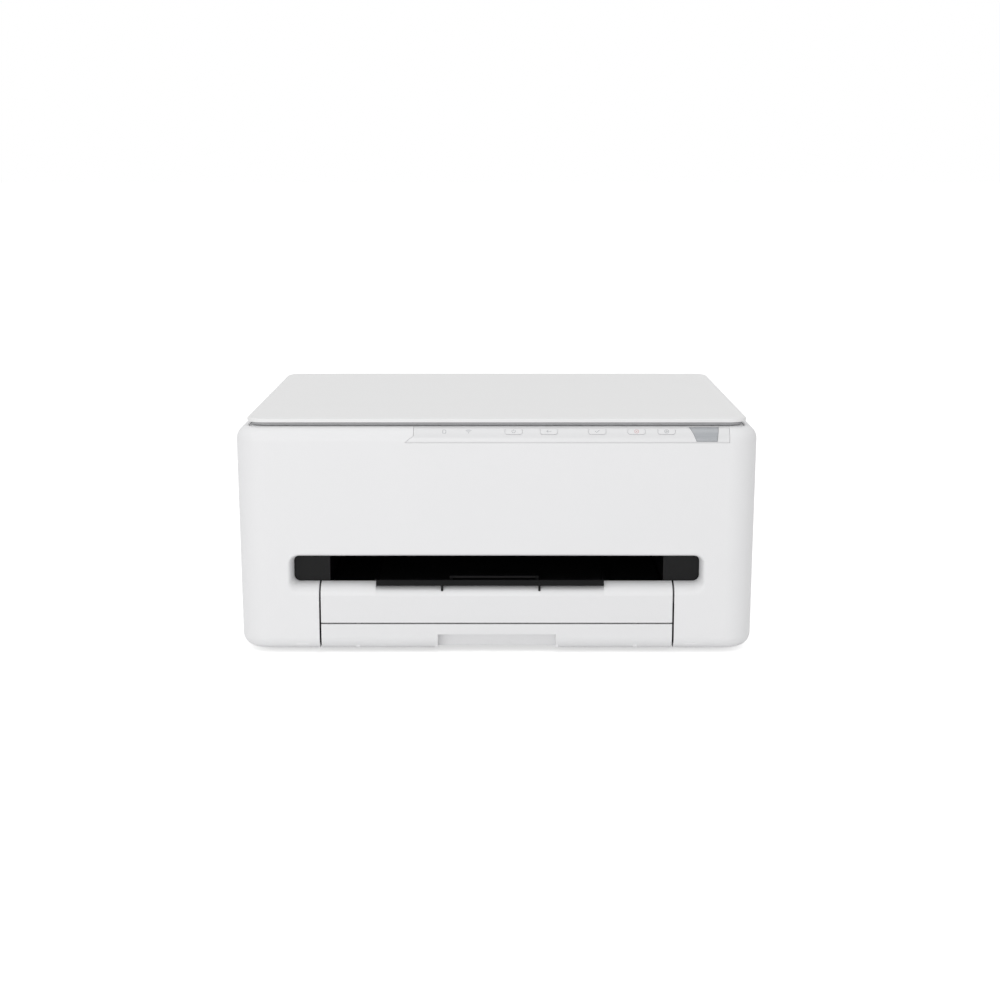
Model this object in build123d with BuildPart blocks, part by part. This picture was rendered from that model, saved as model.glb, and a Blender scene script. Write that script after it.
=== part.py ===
"""A desktop multifunction inkjet printer, as an assembly of its separate pieces.

Millimetres, +Z up. The origin is at the centre of the footprint, on the surface it stands on.
-Y is the front, where the paper comes out and the cassette goes in, and +X is to the right of it.
"""

import os
from math import acos, asin, atan2, cos, degrees, hypot, pi, radians, sin, sqrt, tan

from build123d import *

# Casing
body_width = 403.0
body_depth = 314.0
foot_height = 3.0
foot_radius = 9.0
foot_inset_x = 36.0
foot_inset_y = 32.0
casing_top = 178.2
wall = 2.5
corner_radius = 22.0
shoulder_radius = 10.5
base_radius = 10.0
side_draft = 0.5
seam = 0.4
front_seam = 27.0
rear_seam = 22.0
bottom_flange = 16.0
bottom_lap = 6.0
bottom_plate = 2.0
well_inset_x = 10.0
well_inset_front = 10.0
well_inset_back = 7.5
well_corner = 8.0
rim_skirt = 8.0
rim_skirt_thick = 1.8

# Paper slot in the front
slot_half = 158.0
slot_low = 54.0
slot_high = 80.0
slot_corner = 5.0
sill_depth = 12.0
sill_drop = 7.5
brow_rise = 2.0
slot_flare = 4.0
slot_surround = 7.0

# Cassette bay in the front
bay_half = 138.1
front_gap = 1.5
output_panel_low = 25.2
cassette_panel_high = 23.9
grip_half = 46.0
grip_top = 15.7
scoop_half = 36.0
scoop_depth = 2.5

# Control panel on the shoulder
panel_left = -63.5
panel_right = 178.0
panel_slant = 6.0
panel_low = 7.9
panel_kink = 3.7
panel_back = 5.6
panel_thick = 1.8
panel_gap = 0.25
key_length = 13.0
key_height = 5.0
key_corner = 1.6
key_proud = 0.25
key_depth = 4.2
key_travel = 0.6
key_gap = 0.35
key_places = (13.0, 40.0, 77.0, 107.0, 130.0)
display_left = 147.4
display_right = 170.0
display_slant = 5.5
display_margin = 0.7

# Lid
lid_inset = 8.5
lid_gap = 3.2
lid_thick = 2.8
lid_corner = 14.0
lid_edge_round = 1.0
lid_skirt_inset = 4.5
lid_skirt_inset_back = 9.0
lid_skirt_clear = 0.5
lid_skirt_thick = 1.8
lid_hinge_x = 162.5
lid_hinge_length = 24.0
lid_hinge_radius = 2.3
lid_pin_radius = 1.2
lid_notch_depth = 5.6
pad_clear = 2.0
pad_lift = 0.3

# Scanner unit
scanner_case_height = 33.0
scanner_wall = 2.4
scanner_case_inset = 3.2
frame_skin = 3.2
frame_fit = 1.0
window_length = 300.0
window_width = 219.0
window_shift = -8.0
glass_thick = 2.8
glass_margin = 7.0
scanner_hinge_x = 120.0
scanner_hinge_length = 30.0
scanner_hinge_radius = 3.5
scanner_pin_radius = 1.5
scanner_axis_in = 9.0
scanner_axis_down = 2.2
rail_radius = 3.0
rail_rise = 6.5
head_width = 17.0
head_length = 228.0
head_clear = 0.6
head_home = -150.0
stay_radius = 150.0
stay_width = 8.0
stay_thick = 2.0
stay_end = 50.0
stay_guide_angle = 17.5

# Frame of the mechanism
frame_x = 186.0
frame_thick = 2.0
frame_front = -14.0
frame_back = 132.0
frame_top = 136.0
deck_low = 46.0
deck_thick = 2.5
deck_back = 96.0
run_clear = 0.06
end_play = 0.4

# Paper feed
feed_y = 62.0
feed_z = 60.0
feed_radius = 6.0
feed_shaft = 3.0
paper_half = 108.0
eject_y = 5.0
eject_radius = 5.0
eject_shaft = 2.5
turn_y = 118.0
turn_z = 45.0
turn_radius = 19.0
turn_shaft = 3.0
turn_sleeve = 0.5
pinch_radius = 3.5
pinch_shaft = 1.2
star_radius = 4.6
star_thick = 1.2
paper_gap = 0.4
gear_module = 0.8
gear_width = 5.0
feed_teeth = 40
idler_teeth = 35
eject_teeth = 33
turn_idler_teeth = 33
turn_teeth = 40
motor_teeth = 14
gear_backlash = 0.16
gear_pin = 2.0
feed_motor_radius = 12.0
feed_motor_length = 20.0
feed_motor_angle = -78.0
roller_places = (-90.0, -54.0, -18.0, 18.0, 54.0, 90.0)
arm_half = 9.0
arm_pivot_y = 60.0
arm_pivot_z = 36.0
arm_pin = 2.0
arm_thick = 3.0
pickup_y = 92.0
pickup_z = 20.0
pickup_radius = 7.0
pickup_pin = 1.5

# Carriage
rail_y = 82.0
rail_low = 80.0
rail_thick = 1.5
rail_flange = 12.0
rail_high = 132.0
pulley_pin = 1.5
strip_thick = 0.3
strip_gap = 0.6
carriage_home = 146.0
carriage_half = 34.0
carriage_front = 8.0
carriage_back = 70.0
carriage_low = 84.0
carriage_high = 124.0
carriage_wall = 2.0
nose_front = 17.0
nose_back = 47.0
nose_low = 68.6
belt_z = 111.0
belt_y = 75.5
belt_width = 5.0
belt_thick = 1.0
pulley_radius = 6.0
pulley_x = 172.0
cartridge_width = 29.0
cartridge_pitch = 33.0
cartridge_clear = 0.4
lever_axis_y = 62.0
lever_axis_z = 126.5

# Cassette
cassette_half = 132.0
cassette_wall = 1.8
cassette_floor = 1.6
cassette_high = 23.4
cassette_front = 12.0
cassette_back = 18.0
guide_thick = 1.8
guide_high = 21.5
guide_travel = 54.0
guide_foot = 2.0
guide_length = 90.0
rack_module = 1.0
rack_pitch_count = 22
pinion_teeth = 16
pinion_y = 40.0
slide_clear = 0.3
end_guide_travel = 120.0
guide_paper = 105.5
rack_thick = 2.4
end_half = 24.0
rack_bar = 6.0

# Output tray
tray_half = 128.5
tray_thick = 3.5
tray_rear = -22.0
extension_left = -93.6
extension_right = 83.2
extension_thick = 2.0
extension_rear = -50.0
stop_axis_in = 2.0
stop_axis_rise = 2.0
stop_left = -34.0
stop_right = 30.0
stop_length = 18.0

# Rear
door_half = 111.0
door_low = 22.0
door_high = 110.0
door_gap = 0.5
door_foot_gap = 1.2
door_pin = 1.5
door_pin_length = 4.0
door_ribs = 9
door_rib_low = 34.0
door_rib_clear = 1.2
door_rib_lead = 4.0

# Electrics
supply_length = 62.0
supply_front = 98.0
supply_low = 28.0
supply_high = 92.0
inlet_x = (-164.0, -148.0)
inlet_z = (44.0, 56.0)
socket_fit = 0.25
board_x = (118.0, 178.0)
board_z = (34.0, 128.0)
board_thick = 1.6
board_stand = 7.0
usb_x = (144.0, 157.0)
usb_z = (66.0, 78.0)

# Worked out from the sizes above
half_width = body_width / 2
half_depth = body_depth / 2
front = -half_depth
back = half_depth
draft_run = tan(radians(side_draft)) * (casing_top - foot_height)
low_half = half_width - draft_run
well_half = half_width - well_inset_x
well_front = front + well_inset_front
well_back = back - well_inset_back
slot_inner = front + sill_depth
paper_z = feed_z + feed_radius
eject_z = paper_z - 0.5 - eject_radius
stop_axis_y = slot_inner + stop_axis_in
stop_axis_z = slot_low + slide_clear + extension_thick + stop_axis_rise
lid_low = casing_top + lid_gap
lid_high = lid_low + lid_thick
scanner_high = casing_top - frame_skin
scanner_low = scanner_high - scanner_case_height
scanner_axis_y = back - scanner_axis_in
scanner_axis_z = casing_top - scanner_axis_down
deck_high = deck_low + deck_thick
door_axis_y = back - wall
door_axis_z = door_low + wall
board_back = back - wall - board_stand
supply_back = board_back
lid_axis_y = back - lid_inset - lid_hinge_radius
lid_axis_z = lid_high - lid_hinge_radius
case_half = well_half - scanner_case_inset
case_front = well_front + scanner_case_inset
case_back = well_back - 6.0
glass_low = scanner_high - glass_thick
rail_top_z = scanner_low + scanner_wall + rail_rise
floor_high = foot_height + wall + bottom_plate
cassette_low = floor_high + slide_clear
key_names = ("key_power", "key_back", "key_ok", "key_stop", "key_start")


def write(name, builder):
    """Labels a finished piece and writes it under its own name."""
    builder.part.label = name
    export_step(builder.part, f"parts/{name}.step")


def write_group(name, *builders):
    """Writes separate solids of one body as one piece of the assembly."""
    group = Compound(label=name, children=[builder.part for builder in builders])
    export_step(group, f"parts/{name}.step")


def slab(x, y, z, mode=Mode.ADD):
    """A straight-sided block between pairs of X, Y and Z values."""
    with Locations(((x[0] + x[1]) / 2, (y[0] + y[1]) / 2, (z[0] + z[1]) / 2)):
        Box(x[1] - x[0], y[1] - y[0], z[1] - z[0], mode=mode)


def rod(x, y, z, radius, mode=Mode.ADD):
    """A round bar along X between the pair of X values, centred on Y and Z."""
    with Locations(Location(((x[0] + x[1]) / 2, y, z), (0, 90, 0))):
        Cylinder(radius, x[1] - x[0], mode=mode)


def both(x_low, x_high):
    """The same span of X on the left and on the right."""
    return ((-x_high, -x_low), (x_low, x_high))


def envelope(inset):
    """The outer form of the whole body, drawn in by an even inset."""
    low = foot_height + inset
    high = casing_top - inset
    with BuildPart() as form:
        with BuildSketch(Plane.XZ.offset(half_depth - inset)):
            Polygon(
                (-(low_half - inset), low),
                (low_half - inset, low),
                (half_width - inset, high),
                (-(half_width - inset), high),
                align=None,
            )
        extrude(amount=-(body_depth - 2 * inset))
        upright = form.edges().filter_by(lambda e: abs(e.tangent_at(0.5).Z) > 0.9)
        fillet(upright, corner_radius - inset)
        fillet(form.faces().sort_by(Axis.Z)[-1].edges(), shoulder_radius - inset)
        fillet(form.faces().sort_by(Axis.Z)[0].edges(), base_radius - inset)
    return form.part


def slot_cutter():
    """The paper slot with its rolled edge, as a stack of rounded outlines lofted inwards."""
    with BuildPart() as cutter:
        for step in range(5):
            angle = radians(90 * step / 4)
            depth = sill_depth * (1 - cos(angle))
            roll = 1 - sin(angle)
            low = slot_low - sill_drop * roll
            high = slot_high + brow_rise * roll
            half = slot_half + slot_flare * roll
            with BuildSketch(Plane.XZ.offset(half_depth - depth)):
                with Locations((0, (low + high) / 2)):
                    RectangleRounded(2 * half, high - low, slot_corner + slot_flare * roll)
        loft()
    return cutter.part


def prism_on_shoulder(points, grow=0.0):
    """A prism across the front shoulder at 45 degrees, from points along it and up its slope."""
    centre = (0, front + shoulder_radius, casing_top - shoulder_radius)
    slope = Plane(origin=centre, x_dir=(1, 0, 0), z_dir=(0, -1, 1))
    with BuildPart() as prism:
        with BuildSketch(slope):
            with BuildLine():
                Polyline(*points, close=True)
            make_face()
            if grow:
                offset(amount=grow, kind=Kind.INTERSECTION)
        extrude(amount=shoulder_radius + 4)
    return prism.part


def key_prism(place, grow=0.0):
    """The rounded outline of one key, as a prism across the front shoulder."""
    centre = (0, front + shoulder_radius, casing_top - shoulder_radius)
    slope = Plane(origin=centre, x_dir=(1, 0, 0), z_dir=(0, -1, 1))
    with BuildPart() as prism:
        with BuildSketch(slope):
            with Locations((place, 0)):
                RectangleRounded(key_length + 2 * grow, key_height + 2 * grow, key_corner + grow)
        extrude(amount=shoulder_radius + 4)
    return prism.part


def gear(teeth, module, phase, plane, centre, width, bore):
    """A spur gear on a plane, with involute flanks of three points each and one bore."""
    pitch = teeth * module / 2
    base = pitch * cos(radians(20))
    flat = tan(radians(20)) - radians(20)
    thick = pi / (2 * teeth) - gear_backlash / (4 * pitch)
    radii = (max(base, pitch - 1.1 * module), pitch, pitch + 0.9 * module)
    flank = []
    for radius in radii:
        lean = acos(min(1.0, base / radius))
        flank.append((radius, thick + flat - (tan(lean) - lean)))
    root = pitch - 1.3 * module
    outline = [(root, flank[0][1] + 0.02)] + flank
    outline = [(r, -a) for r, a in outline] + [(r, a) for r, a in reversed(outline)]
    points = []
    for tooth in range(teeth):
        turn = phase + 2 * pi * tooth / teeth
        points += [(r * cos(turn + a), r * sin(turn + a)) for r, a in outline]
    with BuildSketch(plane) as area:
        with Locations(centre):
            Polygon(*points, align=None)
            Circle(bore, mode=Mode.SUBTRACT)
    extrude(area.sketch, amount=width)


def meshed(phase, teeth, own_teeth, direction):
    """The phase of a gear that meshes with one of a known phase, along a direction from it."""
    pitch = 2 * pi / teeth
    own_pitch = 2 * pi / own_teeth
    return direction + pi + own_pitch * (0.5 - (phase - direction) / pitch)


def third_centre(a, b, from_a, from_b, side):
    """The point at given distances from two others, on the chosen side of the line between them."""
    gap = hypot(b[0] - a[0], b[1] - a[1])
    along = (from_a**2 - from_b**2 + gap**2) / (2 * gap)
    across = side * sqrt(max(0.0, from_a**2 - along**2))
    ux, uy = (b[0] - a[0]) / gap, (b[1] - a[1]) / gap
    return (a[0] + along * ux - across * uy, a[1] + along * uy + across * ux)


def towards(a, b):
    """The direction from one point to another, in radians."""
    return atan2(b[1] - a[1], b[0] - a[0])


def pitch_radius(teeth):
    return teeth * gear_module / 2


# Places and phases of the gear train
feed_at = (feed_y, feed_z)
eject_at = (eject_y, eject_z)
turn_at = (turn_y, turn_z)
idler_at = third_centre(
    feed_at,
    eject_at,
    pitch_radius(feed_teeth + idler_teeth),
    pitch_radius(eject_teeth + idler_teeth),
    1,
)
turn_idler_at = third_centre(
    feed_at,
    turn_at,
    pitch_radius(feed_teeth + turn_idler_teeth),
    pitch_radius(turn_teeth + turn_idler_teeth),
    1,
)
motor_reach = pitch_radius(feed_teeth + motor_teeth)
motor_at = (
    feed_y + motor_reach * cos(radians(feed_motor_angle)),
    feed_z + motor_reach * sin(radians(feed_motor_angle)),
)
feed_phase = 0.0
idler_phase = meshed(feed_phase, feed_teeth, idler_teeth, towards(feed_at, idler_at))
eject_phase = meshed(idler_phase, idler_teeth, eject_teeth, towards(idler_at, eject_at))
turn_idler_phase = meshed(feed_phase, feed_teeth, turn_idler_teeth, towards(feed_at, turn_idler_at))
turn_phase = meshed(turn_idler_phase, turn_idler_teeth, turn_teeth, towards(turn_idler_at, turn_at))
motor_phase = meshed(feed_phase, feed_teeth, motor_teeth, towards(feed_at, motor_at))
gear_span = (frame_x + frame_thick + 1.5, frame_x + frame_thick + 1.5 + gear_width)

body_form = envelope(0)
body_hollow = envelope(wall)
body_shell = body_form - body_hollow
cutter = slot_cutter()

# Outlines on the shoulder, as points along it and up its slope
panel_points = (
    (panel_left, -panel_kink),
    (panel_left, panel_back),
    (panel_right, panel_back),
    (panel_right, -panel_low),
    (panel_left - panel_slant, -panel_low),
)
display_points = (
    (display_left, panel_back - display_margin),
    (display_right, panel_back - display_margin),
    (display_right - display_slant / 4, display_margin - panel_low),
    (display_left + display_slant, display_margin - panel_low),
)
panel_prism = prism_on_shoulder(panel_points)
panel_room = prism_on_shoulder(panel_points, panel_gap)
display_prism = prism_on_shoulder(display_points)
display_room = prism_on_shoulder(display_points, panel_gap)
panel_hollow = envelope(panel_thick)
key_top = envelope(-key_proud)
key_bottom = envelope(key_depth)


def keep(x=None, y=None, z=None):
    """Keeps only what lies between the given limits, in the part being built."""
    far = 2 * body_width
    slab(x or (-far, far), y or (-far, far), z or (-far, far), Mode.INTERSECT)


def cut_well():
    """Cuts the well that takes the scanner unit out of the top of the casing."""
    with BuildSketch(Plane.XY.offset(casing_top - rim_skirt - 1)) as area:
        with Locations((0, (well_front + well_back) / 2)):
            RectangleRounded(2 * well_half, well_back - well_front, well_corner)
    extrude(area.sketch, amount=rim_skirt + 2, mode=Mode.SUBTRACT)


def add_rim_skirt():
    """Adds the wall that hangs from the rim round the well."""
    with BuildSketch(Plane.XY.offset(casing_top - rim_skirt)) as area:
        with Locations((0, (well_front + well_back) / 2)):
            length, depth = 2 * well_half, well_back - well_front
            RectangleRounded(
                length + 2 * rim_skirt_thick, depth + 2 * rim_skirt_thick, well_corner + rim_skirt_thick
            )
            RectangleRounded(length, depth, well_corner, mode=Mode.SUBTRACT)
    extrude(area.sketch, amount=rim_skirt - wall / 2)


def cut_bottom():
    """Cuts the opening that the bottom case fills."""
    with BuildSketch(Plane.XY.offset(foot_height - 1)) as area:
        RectangleRounded(
            2 * (low_half - bottom_flange), 2 * (half_depth - bottom_flange), corner_radius - base_radius
        )
    extrude(area.sketch, amount=wall + 2, mode=Mode.SUBTRACT)


def front_fascia():
    with BuildPart() as fascia:
        add(body_shell)
        add_rim_skirt()
        keep(y=(front - 1, front + front_seam - seam / 2))
        # the thick surround of the paper slot
        low, high = slot_low - sill_drop - slot_surround, slot_high + slot_surround
        slab(
            (-slot_half - slot_surround, slot_half + slot_surround),
            (front + wall / 2, slot_inner),
            (low, high),
        )
        # bosses for the screws that hold the fascia to the bottom case
        for x in both(bay_half + 8, bay_half + 18):
            slab(x, (front + wall / 2, front + front_seam - 1), (floor_high, floor_high + 12))
        cut_well()
        cut_bottom()
        add(cutter, mode=Mode.SUBTRACT)
        slab((-bay_half, bay_half), (front - 1, front + front_seam), (0, slot_low + 1), Mode.SUBTRACT)
        add(panel_room, mode=Mode.SUBTRACT)
    return fascia


def side_cover(sign):
    span = (well_half - 20, half_width + 1) if sign > 0 else (-half_width - 1, 20 - well_half)
    with BuildPart() as cover:
        add(body_shell)
        add_rim_skirt()
        keep(x=span, y=(front + front_seam + seam / 2, back - rear_seam - seam / 2))
        # the shallow grip for lifting the printer
        y_mid = (front + back) / 2
        outer = sign * (half_width - draft_run / 2)
        edge = sorted((outer - sign * wall / 2, outer - sign * 9))
        slab(edge, (y_mid - 46, y_mid + 46), (foot_height + 30, foot_height + 32.5))
        cut_well()
        cut_bottom()
        reach = sorted((outer + sign * 5, outer - sign * (wall + 1)))
        with BuildSketch(Plane.YZ.offset(reach[0])):
            with Locations((y_mid, foot_height + 20)):
                RectangleRounded(84, 20, 6)
        extrude(amount=reach[1] - reach[0], mode=Mode.SUBTRACT)
    return cover


def rear_panel():
    with BuildPart() as panel:
        add(body_shell)
        add_rim_skirt()
        keep(y=(back - rear_seam + seam / 2, back + 1))
        # eyes that hold the pins of the rear door
        eye = door_half + door_gap
        for x in both(eye, eye + door_pin_length + 1):
            slab(x, (back - 8, back - wall / 2), (door_low - 2, door_low + 10))
        # bosses that carry the main board
        for x in (board_x[0] + 5, board_x[1] - 5):
            for z in (board_z[0] + 5, board_z[1] - 5):
                with BuildSketch(Plane.XZ.offset(-board_back)) as area:
                    with Locations((x, z)):
                        Circle(3)
                extrude(area.sketch, amount=board_back + wall / 2 - back)
        cut_well()
        # bosses that hold the pins of the scanner hinges
        outer = scanner_hinge_length / 2
        for side in (-1, 1):
            centre = side * scanner_hinge_x
            for x in ((centre - outer, centre - outer + 5), (centre + outer - 5, centre + outer)):
                rod(x, scanner_axis_y, scanner_axis_z, scanner_hinge_radius)
                slab(
                    x,
                    (scanner_axis_y, back - wall / 2),
                    (scanner_axis_z - 12, scanner_axis_z - 1),
                )
        for side in (-1, 1):
            centre = side * scanner_hinge_x
            room = outer - 5
            slab(
                (centre - room, centre + room),
                (scanner_axis_y - 8, scanner_axis_y + scanner_hinge_radius + 0.6),
                (scanner_axis_z - 12, casing_top + 1),
                Mode.SUBTRACT,
            )
            # the pin, fixed in the bosses
            rod((centre - outer, centre + outer), scanner_axis_y, scanner_axis_z, scanner_pin_radius)
        cut_bottom()
        opening = (door_low - door_foot_gap, door_high + door_gap)
        slab((-eye, eye), (back - 9, back + 1), opening, Mode.SUBTRACT)
        for x in both(door_half, eye + door_pin_length):
            rod(x, door_axis_y, door_axis_z, door_pin + run_clear, Mode.SUBTRACT)
        # sockets for the mains lead and the data lead
        slab(inlet_x, (back - 8, back + 1), inlet_z, Mode.SUBTRACT)
        slab(usb_x, (back - 8, back + 1), usb_z, Mode.SUBTRACT)
        # cooling slots above the power supply
        for step in range(6):
            z = 98.0 + 5.0 * step
            slab((-178, -128), (back - 4, back + 1), (z, z + 2.0), Mode.SUBTRACT)
    return panel


def bottom_case():
    bank = separation_bank()
    with BuildPart() as case:
        add(bank.part)
        with BuildSketch(Plane.XY.offset(foot_height)):
            RectangleRounded(
                2 * (low_half - bottom_flange - seam),
                2 * (half_depth - bottom_flange - seam),
                corner_radius - base_radius - seam,
            )
        extrude(amount=wall)
        with BuildSketch(Plane.XY.offset(foot_height + wall)):
            length = 2 * (low_half - bottom_flange + bottom_lap)
            depth = 2 * (half_depth - bottom_flange + bottom_lap)
            RectangleRounded(length, depth, corner_radius - base_radius + bottom_lap)
            edge = 2 * (bottom_lap + 8)
            RectangleRounded(length - edge, depth - edge, 6, mode=Mode.SUBTRACT)
            with Locations((0, front + bottom_flange)):
                Rectangle(2 * bay_half + 2, 4 * bottom_lap, mode=Mode.SUBTRACT)
        extrude(amount=bottom_plate)
        # runners under the cassette, with the fences beside it
        top = foot_height + wall
        for x in both(cassette_half - 14, cassette_half - 6):
            slab(x, (front + bottom_flange + 2, back - 34), (top, floor_high))
        for x in both(cassette_half + slide_clear, cassette_half + slide_clear + 2):
            slab(x, (front + bottom_flange + 2, back - 34), (top, cassette_low + 9))
        # feet of the side plates of the frame
        for x in both(frame_x - 8, frame_x - 0.0):
            for y in ((frame_front, frame_front + 20), (frame_back - 20, frame_back)):
                slab(x, y, (top, floor_high + 6))
    return case


def rubber_feet():
    with BuildPart() as feet:
        with BuildSketch(Plane.XY):
            with GridLocations(2 * (low_half - foot_inset_x), 2 * (half_depth - foot_inset_y), 2, 2):
                Circle(foot_radius)
        extrude(amount=foot_height, taper=-8)
    return feet


def slot_liner():
    with BuildPart() as liner:
        rear = -40.0
        slab((-slot_half - 3, slot_half + 3), (slot_inner, rear), (slot_high, slot_high + wall))
        for x in both(tray_half + 1.5, tray_half + 3.5):
            slab(x, (slot_inner, rear), (slot_low - tray_thick - 3, slot_high + 0.5))
        for x in both(tray_half + 1.5, slot_half + 3):
            slab(x, (slot_inner, slot_inner + 2), (slot_low - 6, slot_high + 0.5))
        for x in both(tray_half - 8, tray_half + 3.5):
            high = slot_low - tray_thick - slide_clear
            slab(x, (slot_inner + 1, rear), (high - 2.5, high))
        # ribs that stiffen the ceiling
        for place in range(-3, 4):
            x = place * 45.0
            slab((x - 0.75, x + 0.75), (slot_inner + 2, rear), (slot_high + wall, slot_high + wall + 4))
    return liner


def control_panel():
    with BuildPart() as panel:
        add(body_form)
        add(panel_hollow, mode=Mode.SUBTRACT)
        add(panel_prism, mode=Mode.INTERSECT)
        for place in key_places:
            add(key_prism(place, key_gap), mode=Mode.SUBTRACT)
        add(display_room, mode=Mode.SUBTRACT)
    return panel


def display_window():
    with BuildPart() as window:
        add(body_form)
        add(panel_hollow, mode=Mode.SUBTRACT)
        add(display_prism, mode=Mode.INTERSECT)
    return window


def panel_key(place):
    with BuildPart() as key:
        add(key_top)
        add(key_bottom, mode=Mode.SUBTRACT)
        add(key_prism(place), mode=Mode.INTERSECT)
    return key


def panel_carrier():
    """The inner tray behind the control panel, which carries it and its switches."""
    with BuildPart() as carrier:
        add(envelope(key_depth + key_travel + 0.6))
        add(envelope(key_depth + key_travel + 2.2), mode=Mode.SUBTRACT)
        add(prism_on_shoulder(panel_points), mode=Mode.INTERSECT)
        keep(y=(front, well_front - rim_skirt_thick), z=(casing_top - shoulder_radius - 6, casing_top - 1))
    return carrier


def lid_cover():
    with BuildPart() as cover:
        half = half_width - lid_inset
        length = body_depth - 2 * lid_inset
        with BuildSketch(Plane.XY.offset(lid_low)):
            RectangleRounded(2 * half, length, lid_corner)
        extrude(amount=lid_thick)
        fillet(cover.faces().sort_by(Axis.Z)[-1].edges(), lid_edge_round)
        # the skirt under the lid, set back from its edge
        skirt_front = front + lid_inset + lid_skirt_inset
        skirt_back = back - lid_inset - lid_skirt_inset_back
        skirt_half = half - lid_skirt_inset
        with BuildSketch(Plane.XY.offset(casing_top + lid_skirt_clear)):
            with Locations((0, (skirt_front + skirt_back) / 2)):
                wide, deep = 2 * skirt_half, skirt_back - skirt_front
                corner = lid_corner - lid_skirt_inset
                RectangleRounded(wide, deep, corner)
                thick = 2 * lid_skirt_thick
                RectangleRounded(wide - thick, deep - thick, corner - lid_skirt_thick, mode=Mode.SUBTRACT)
        extrude(amount=lid_gap - lid_skirt_clear)
        # notches at the rear edge, and the eye in the middle of each
        outer = lid_hinge_length / 2
        for side in (-1, 1):
            centre = side * lid_hinge_x
            slab(
                (centre - outer, centre + outer),
                (back - lid_inset - lid_notch_depth, back),
                (lid_low - 1, lid_high + 1),
                Mode.SUBTRACT,
            )
            eye = (centre - outer / 3, centre + outer / 3)
            rod(eye, lid_axis_y, lid_axis_z, lid_hinge_radius)
            slab(eye, (back - lid_inset - lid_notch_depth - 1, lid_axis_y), (lid_low, lid_high))
            rod(eye, lid_axis_y, lid_axis_z, lid_pin_radius + run_clear, Mode.SUBTRACT)
    return cover


def lid_pad():
    """The foam and its white sheet, which press the paper on the glass through the window."""
    with BuildPart() as pad:
        with BuildSketch(Plane.XY.offset(scanner_high + pad_lift)):
            with Locations((0, window_shift)):
                RectangleRounded(window_length - 2 * pad_clear, window_width - 2 * pad_clear, 3)
        extrude(amount=lid_low - scanner_high - pad_lift)
    return pad


def scanner_case():
    with BuildPart() as case:
        with BuildSketch(Plane.XY.offset(scanner_low)):
            with Locations((0, (case_front + case_back) / 2)):
                RectangleRounded(2 * case_half, case_back - case_front, well_corner)
        extrude(amount=scanner_case_height)
        fillet(case.faces().sort_by(Axis.Z)[0].edges(), 3)
        with BuildSketch(Plane.XY.offset(scanner_low + scanner_wall)):
            with Locations((0, (case_front + case_back) / 2)):
                RectangleRounded(
                    2 * (case_half - scanner_wall),
                    case_back - case_front - 2 * scanner_wall,
                    well_corner - scanner_wall,
                )
        extrude(amount=scanner_case_height, mode=Mode.SUBTRACT)
        # blocks that hold the ends of the rail
        for x in both(case_half - scanner_wall - 6, case_half - scanner_wall + 0.5):
            slab(x, (-7, 7), (scanner_low + 1, rail_top_z + 6))
        rod((-case_half + 1, case_half - 1), 0, rail_top_z, rail_radius)
        # stiffening ribs on the floor
        floor = scanner_low + scanner_wall
        for y in (-100, -50, 50, 100):
            slab((-case_half + 2, case_half - 2), (y - 0.8, y + 0.8), (floor - 0.5, floor + 4))
        # eyes of the hinges at the rear
        for side in (-1, 1):
            room = scanner_hinge_length / 2 - 5 - end_play
            x = (side * scanner_hinge_x - room, side * scanner_hinge_x + room)
            rod(x, scanner_axis_y, scanner_axis_z, scanner_hinge_radius)
            slab(
                x,
                (case_back - 0.5, scanner_axis_y),
                (scanner_axis_z - scanner_hinge_radius - 4, scanner_high),
            )
            rod(x, scanner_axis_y, scanner_axis_z, scanner_pin_radius + run_clear, Mode.SUBTRACT)
    return case


def scanner_top_frame():
    frame_front_y = well_front + frame_fit
    frame_back_y = case_back + 2.5
    with BuildPart() as frame:
        with BuildSketch(Plane.XY.offset(scanner_high)):
            with Locations((0, (frame_front_y + frame_back_y) / 2)):
                RectangleRounded(
                    2 * (well_half - frame_fit), frame_back_y - frame_front_y, well_corner - frame_fit
                )
            with Locations((0, window_shift)):
                RectangleRounded(window_length, window_width, 3, mode=Mode.SUBTRACT)
        extrude(amount=frame_skin)
        # the lip that locates the frame inside the case
        with BuildSketch(Plane.XY.offset(scanner_high - 2.5)):
            with Locations((0, (case_front + case_back) / 2)):
                wide = 2 * (case_half - scanner_wall - 0.3)
                deep = case_back - case_front - 2 * (scanner_wall + 0.3)
                RectangleRounded(wide, deep, well_corner - scanner_wall)
                RectangleRounded(wide - 3.2, deep - 3.2, well_corner - scanner_wall - 1.6, mode=Mode.SUBTRACT)
        extrude(amount=2.5)
        # room for the eyes of the scanner hinges
        for side in (-1, 1):
            room = scanner_hinge_length / 2
            x = (side * scanner_hinge_x - room, side * scanner_hinge_x + room)
            start = scanner_axis_y - scanner_hinge_radius - 0.4
            slab(x, (start, back), (scanner_high - 3, casing_top + 1), Mode.SUBTRACT)
        # posts that carry the pins of the lid
        outer = lid_hinge_length / 2
        inner = outer / 3 + end_play
        for side in (-1, 1):
            for span in ((-outer + end_play, -inner), (inner, outer - end_play)):
                x = (side * lid_hinge_x + span[0], side * lid_hinge_x + span[1])
                rod(x, lid_axis_y, lid_axis_z, lid_hinge_radius)
                slab(
                    x,
                    (lid_axis_y - lid_hinge_radius, lid_axis_y + lid_hinge_radius / 2),
                    (scanner_high + 1, lid_axis_z),
                )
            # the pin, fixed in the posts
            x = (side * lid_hinge_x - outer + end_play, side * lid_hinge_x + outer - end_play)
            rod(x, lid_axis_y, lid_axis_z, lid_pin_radius)
    return frame


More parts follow.
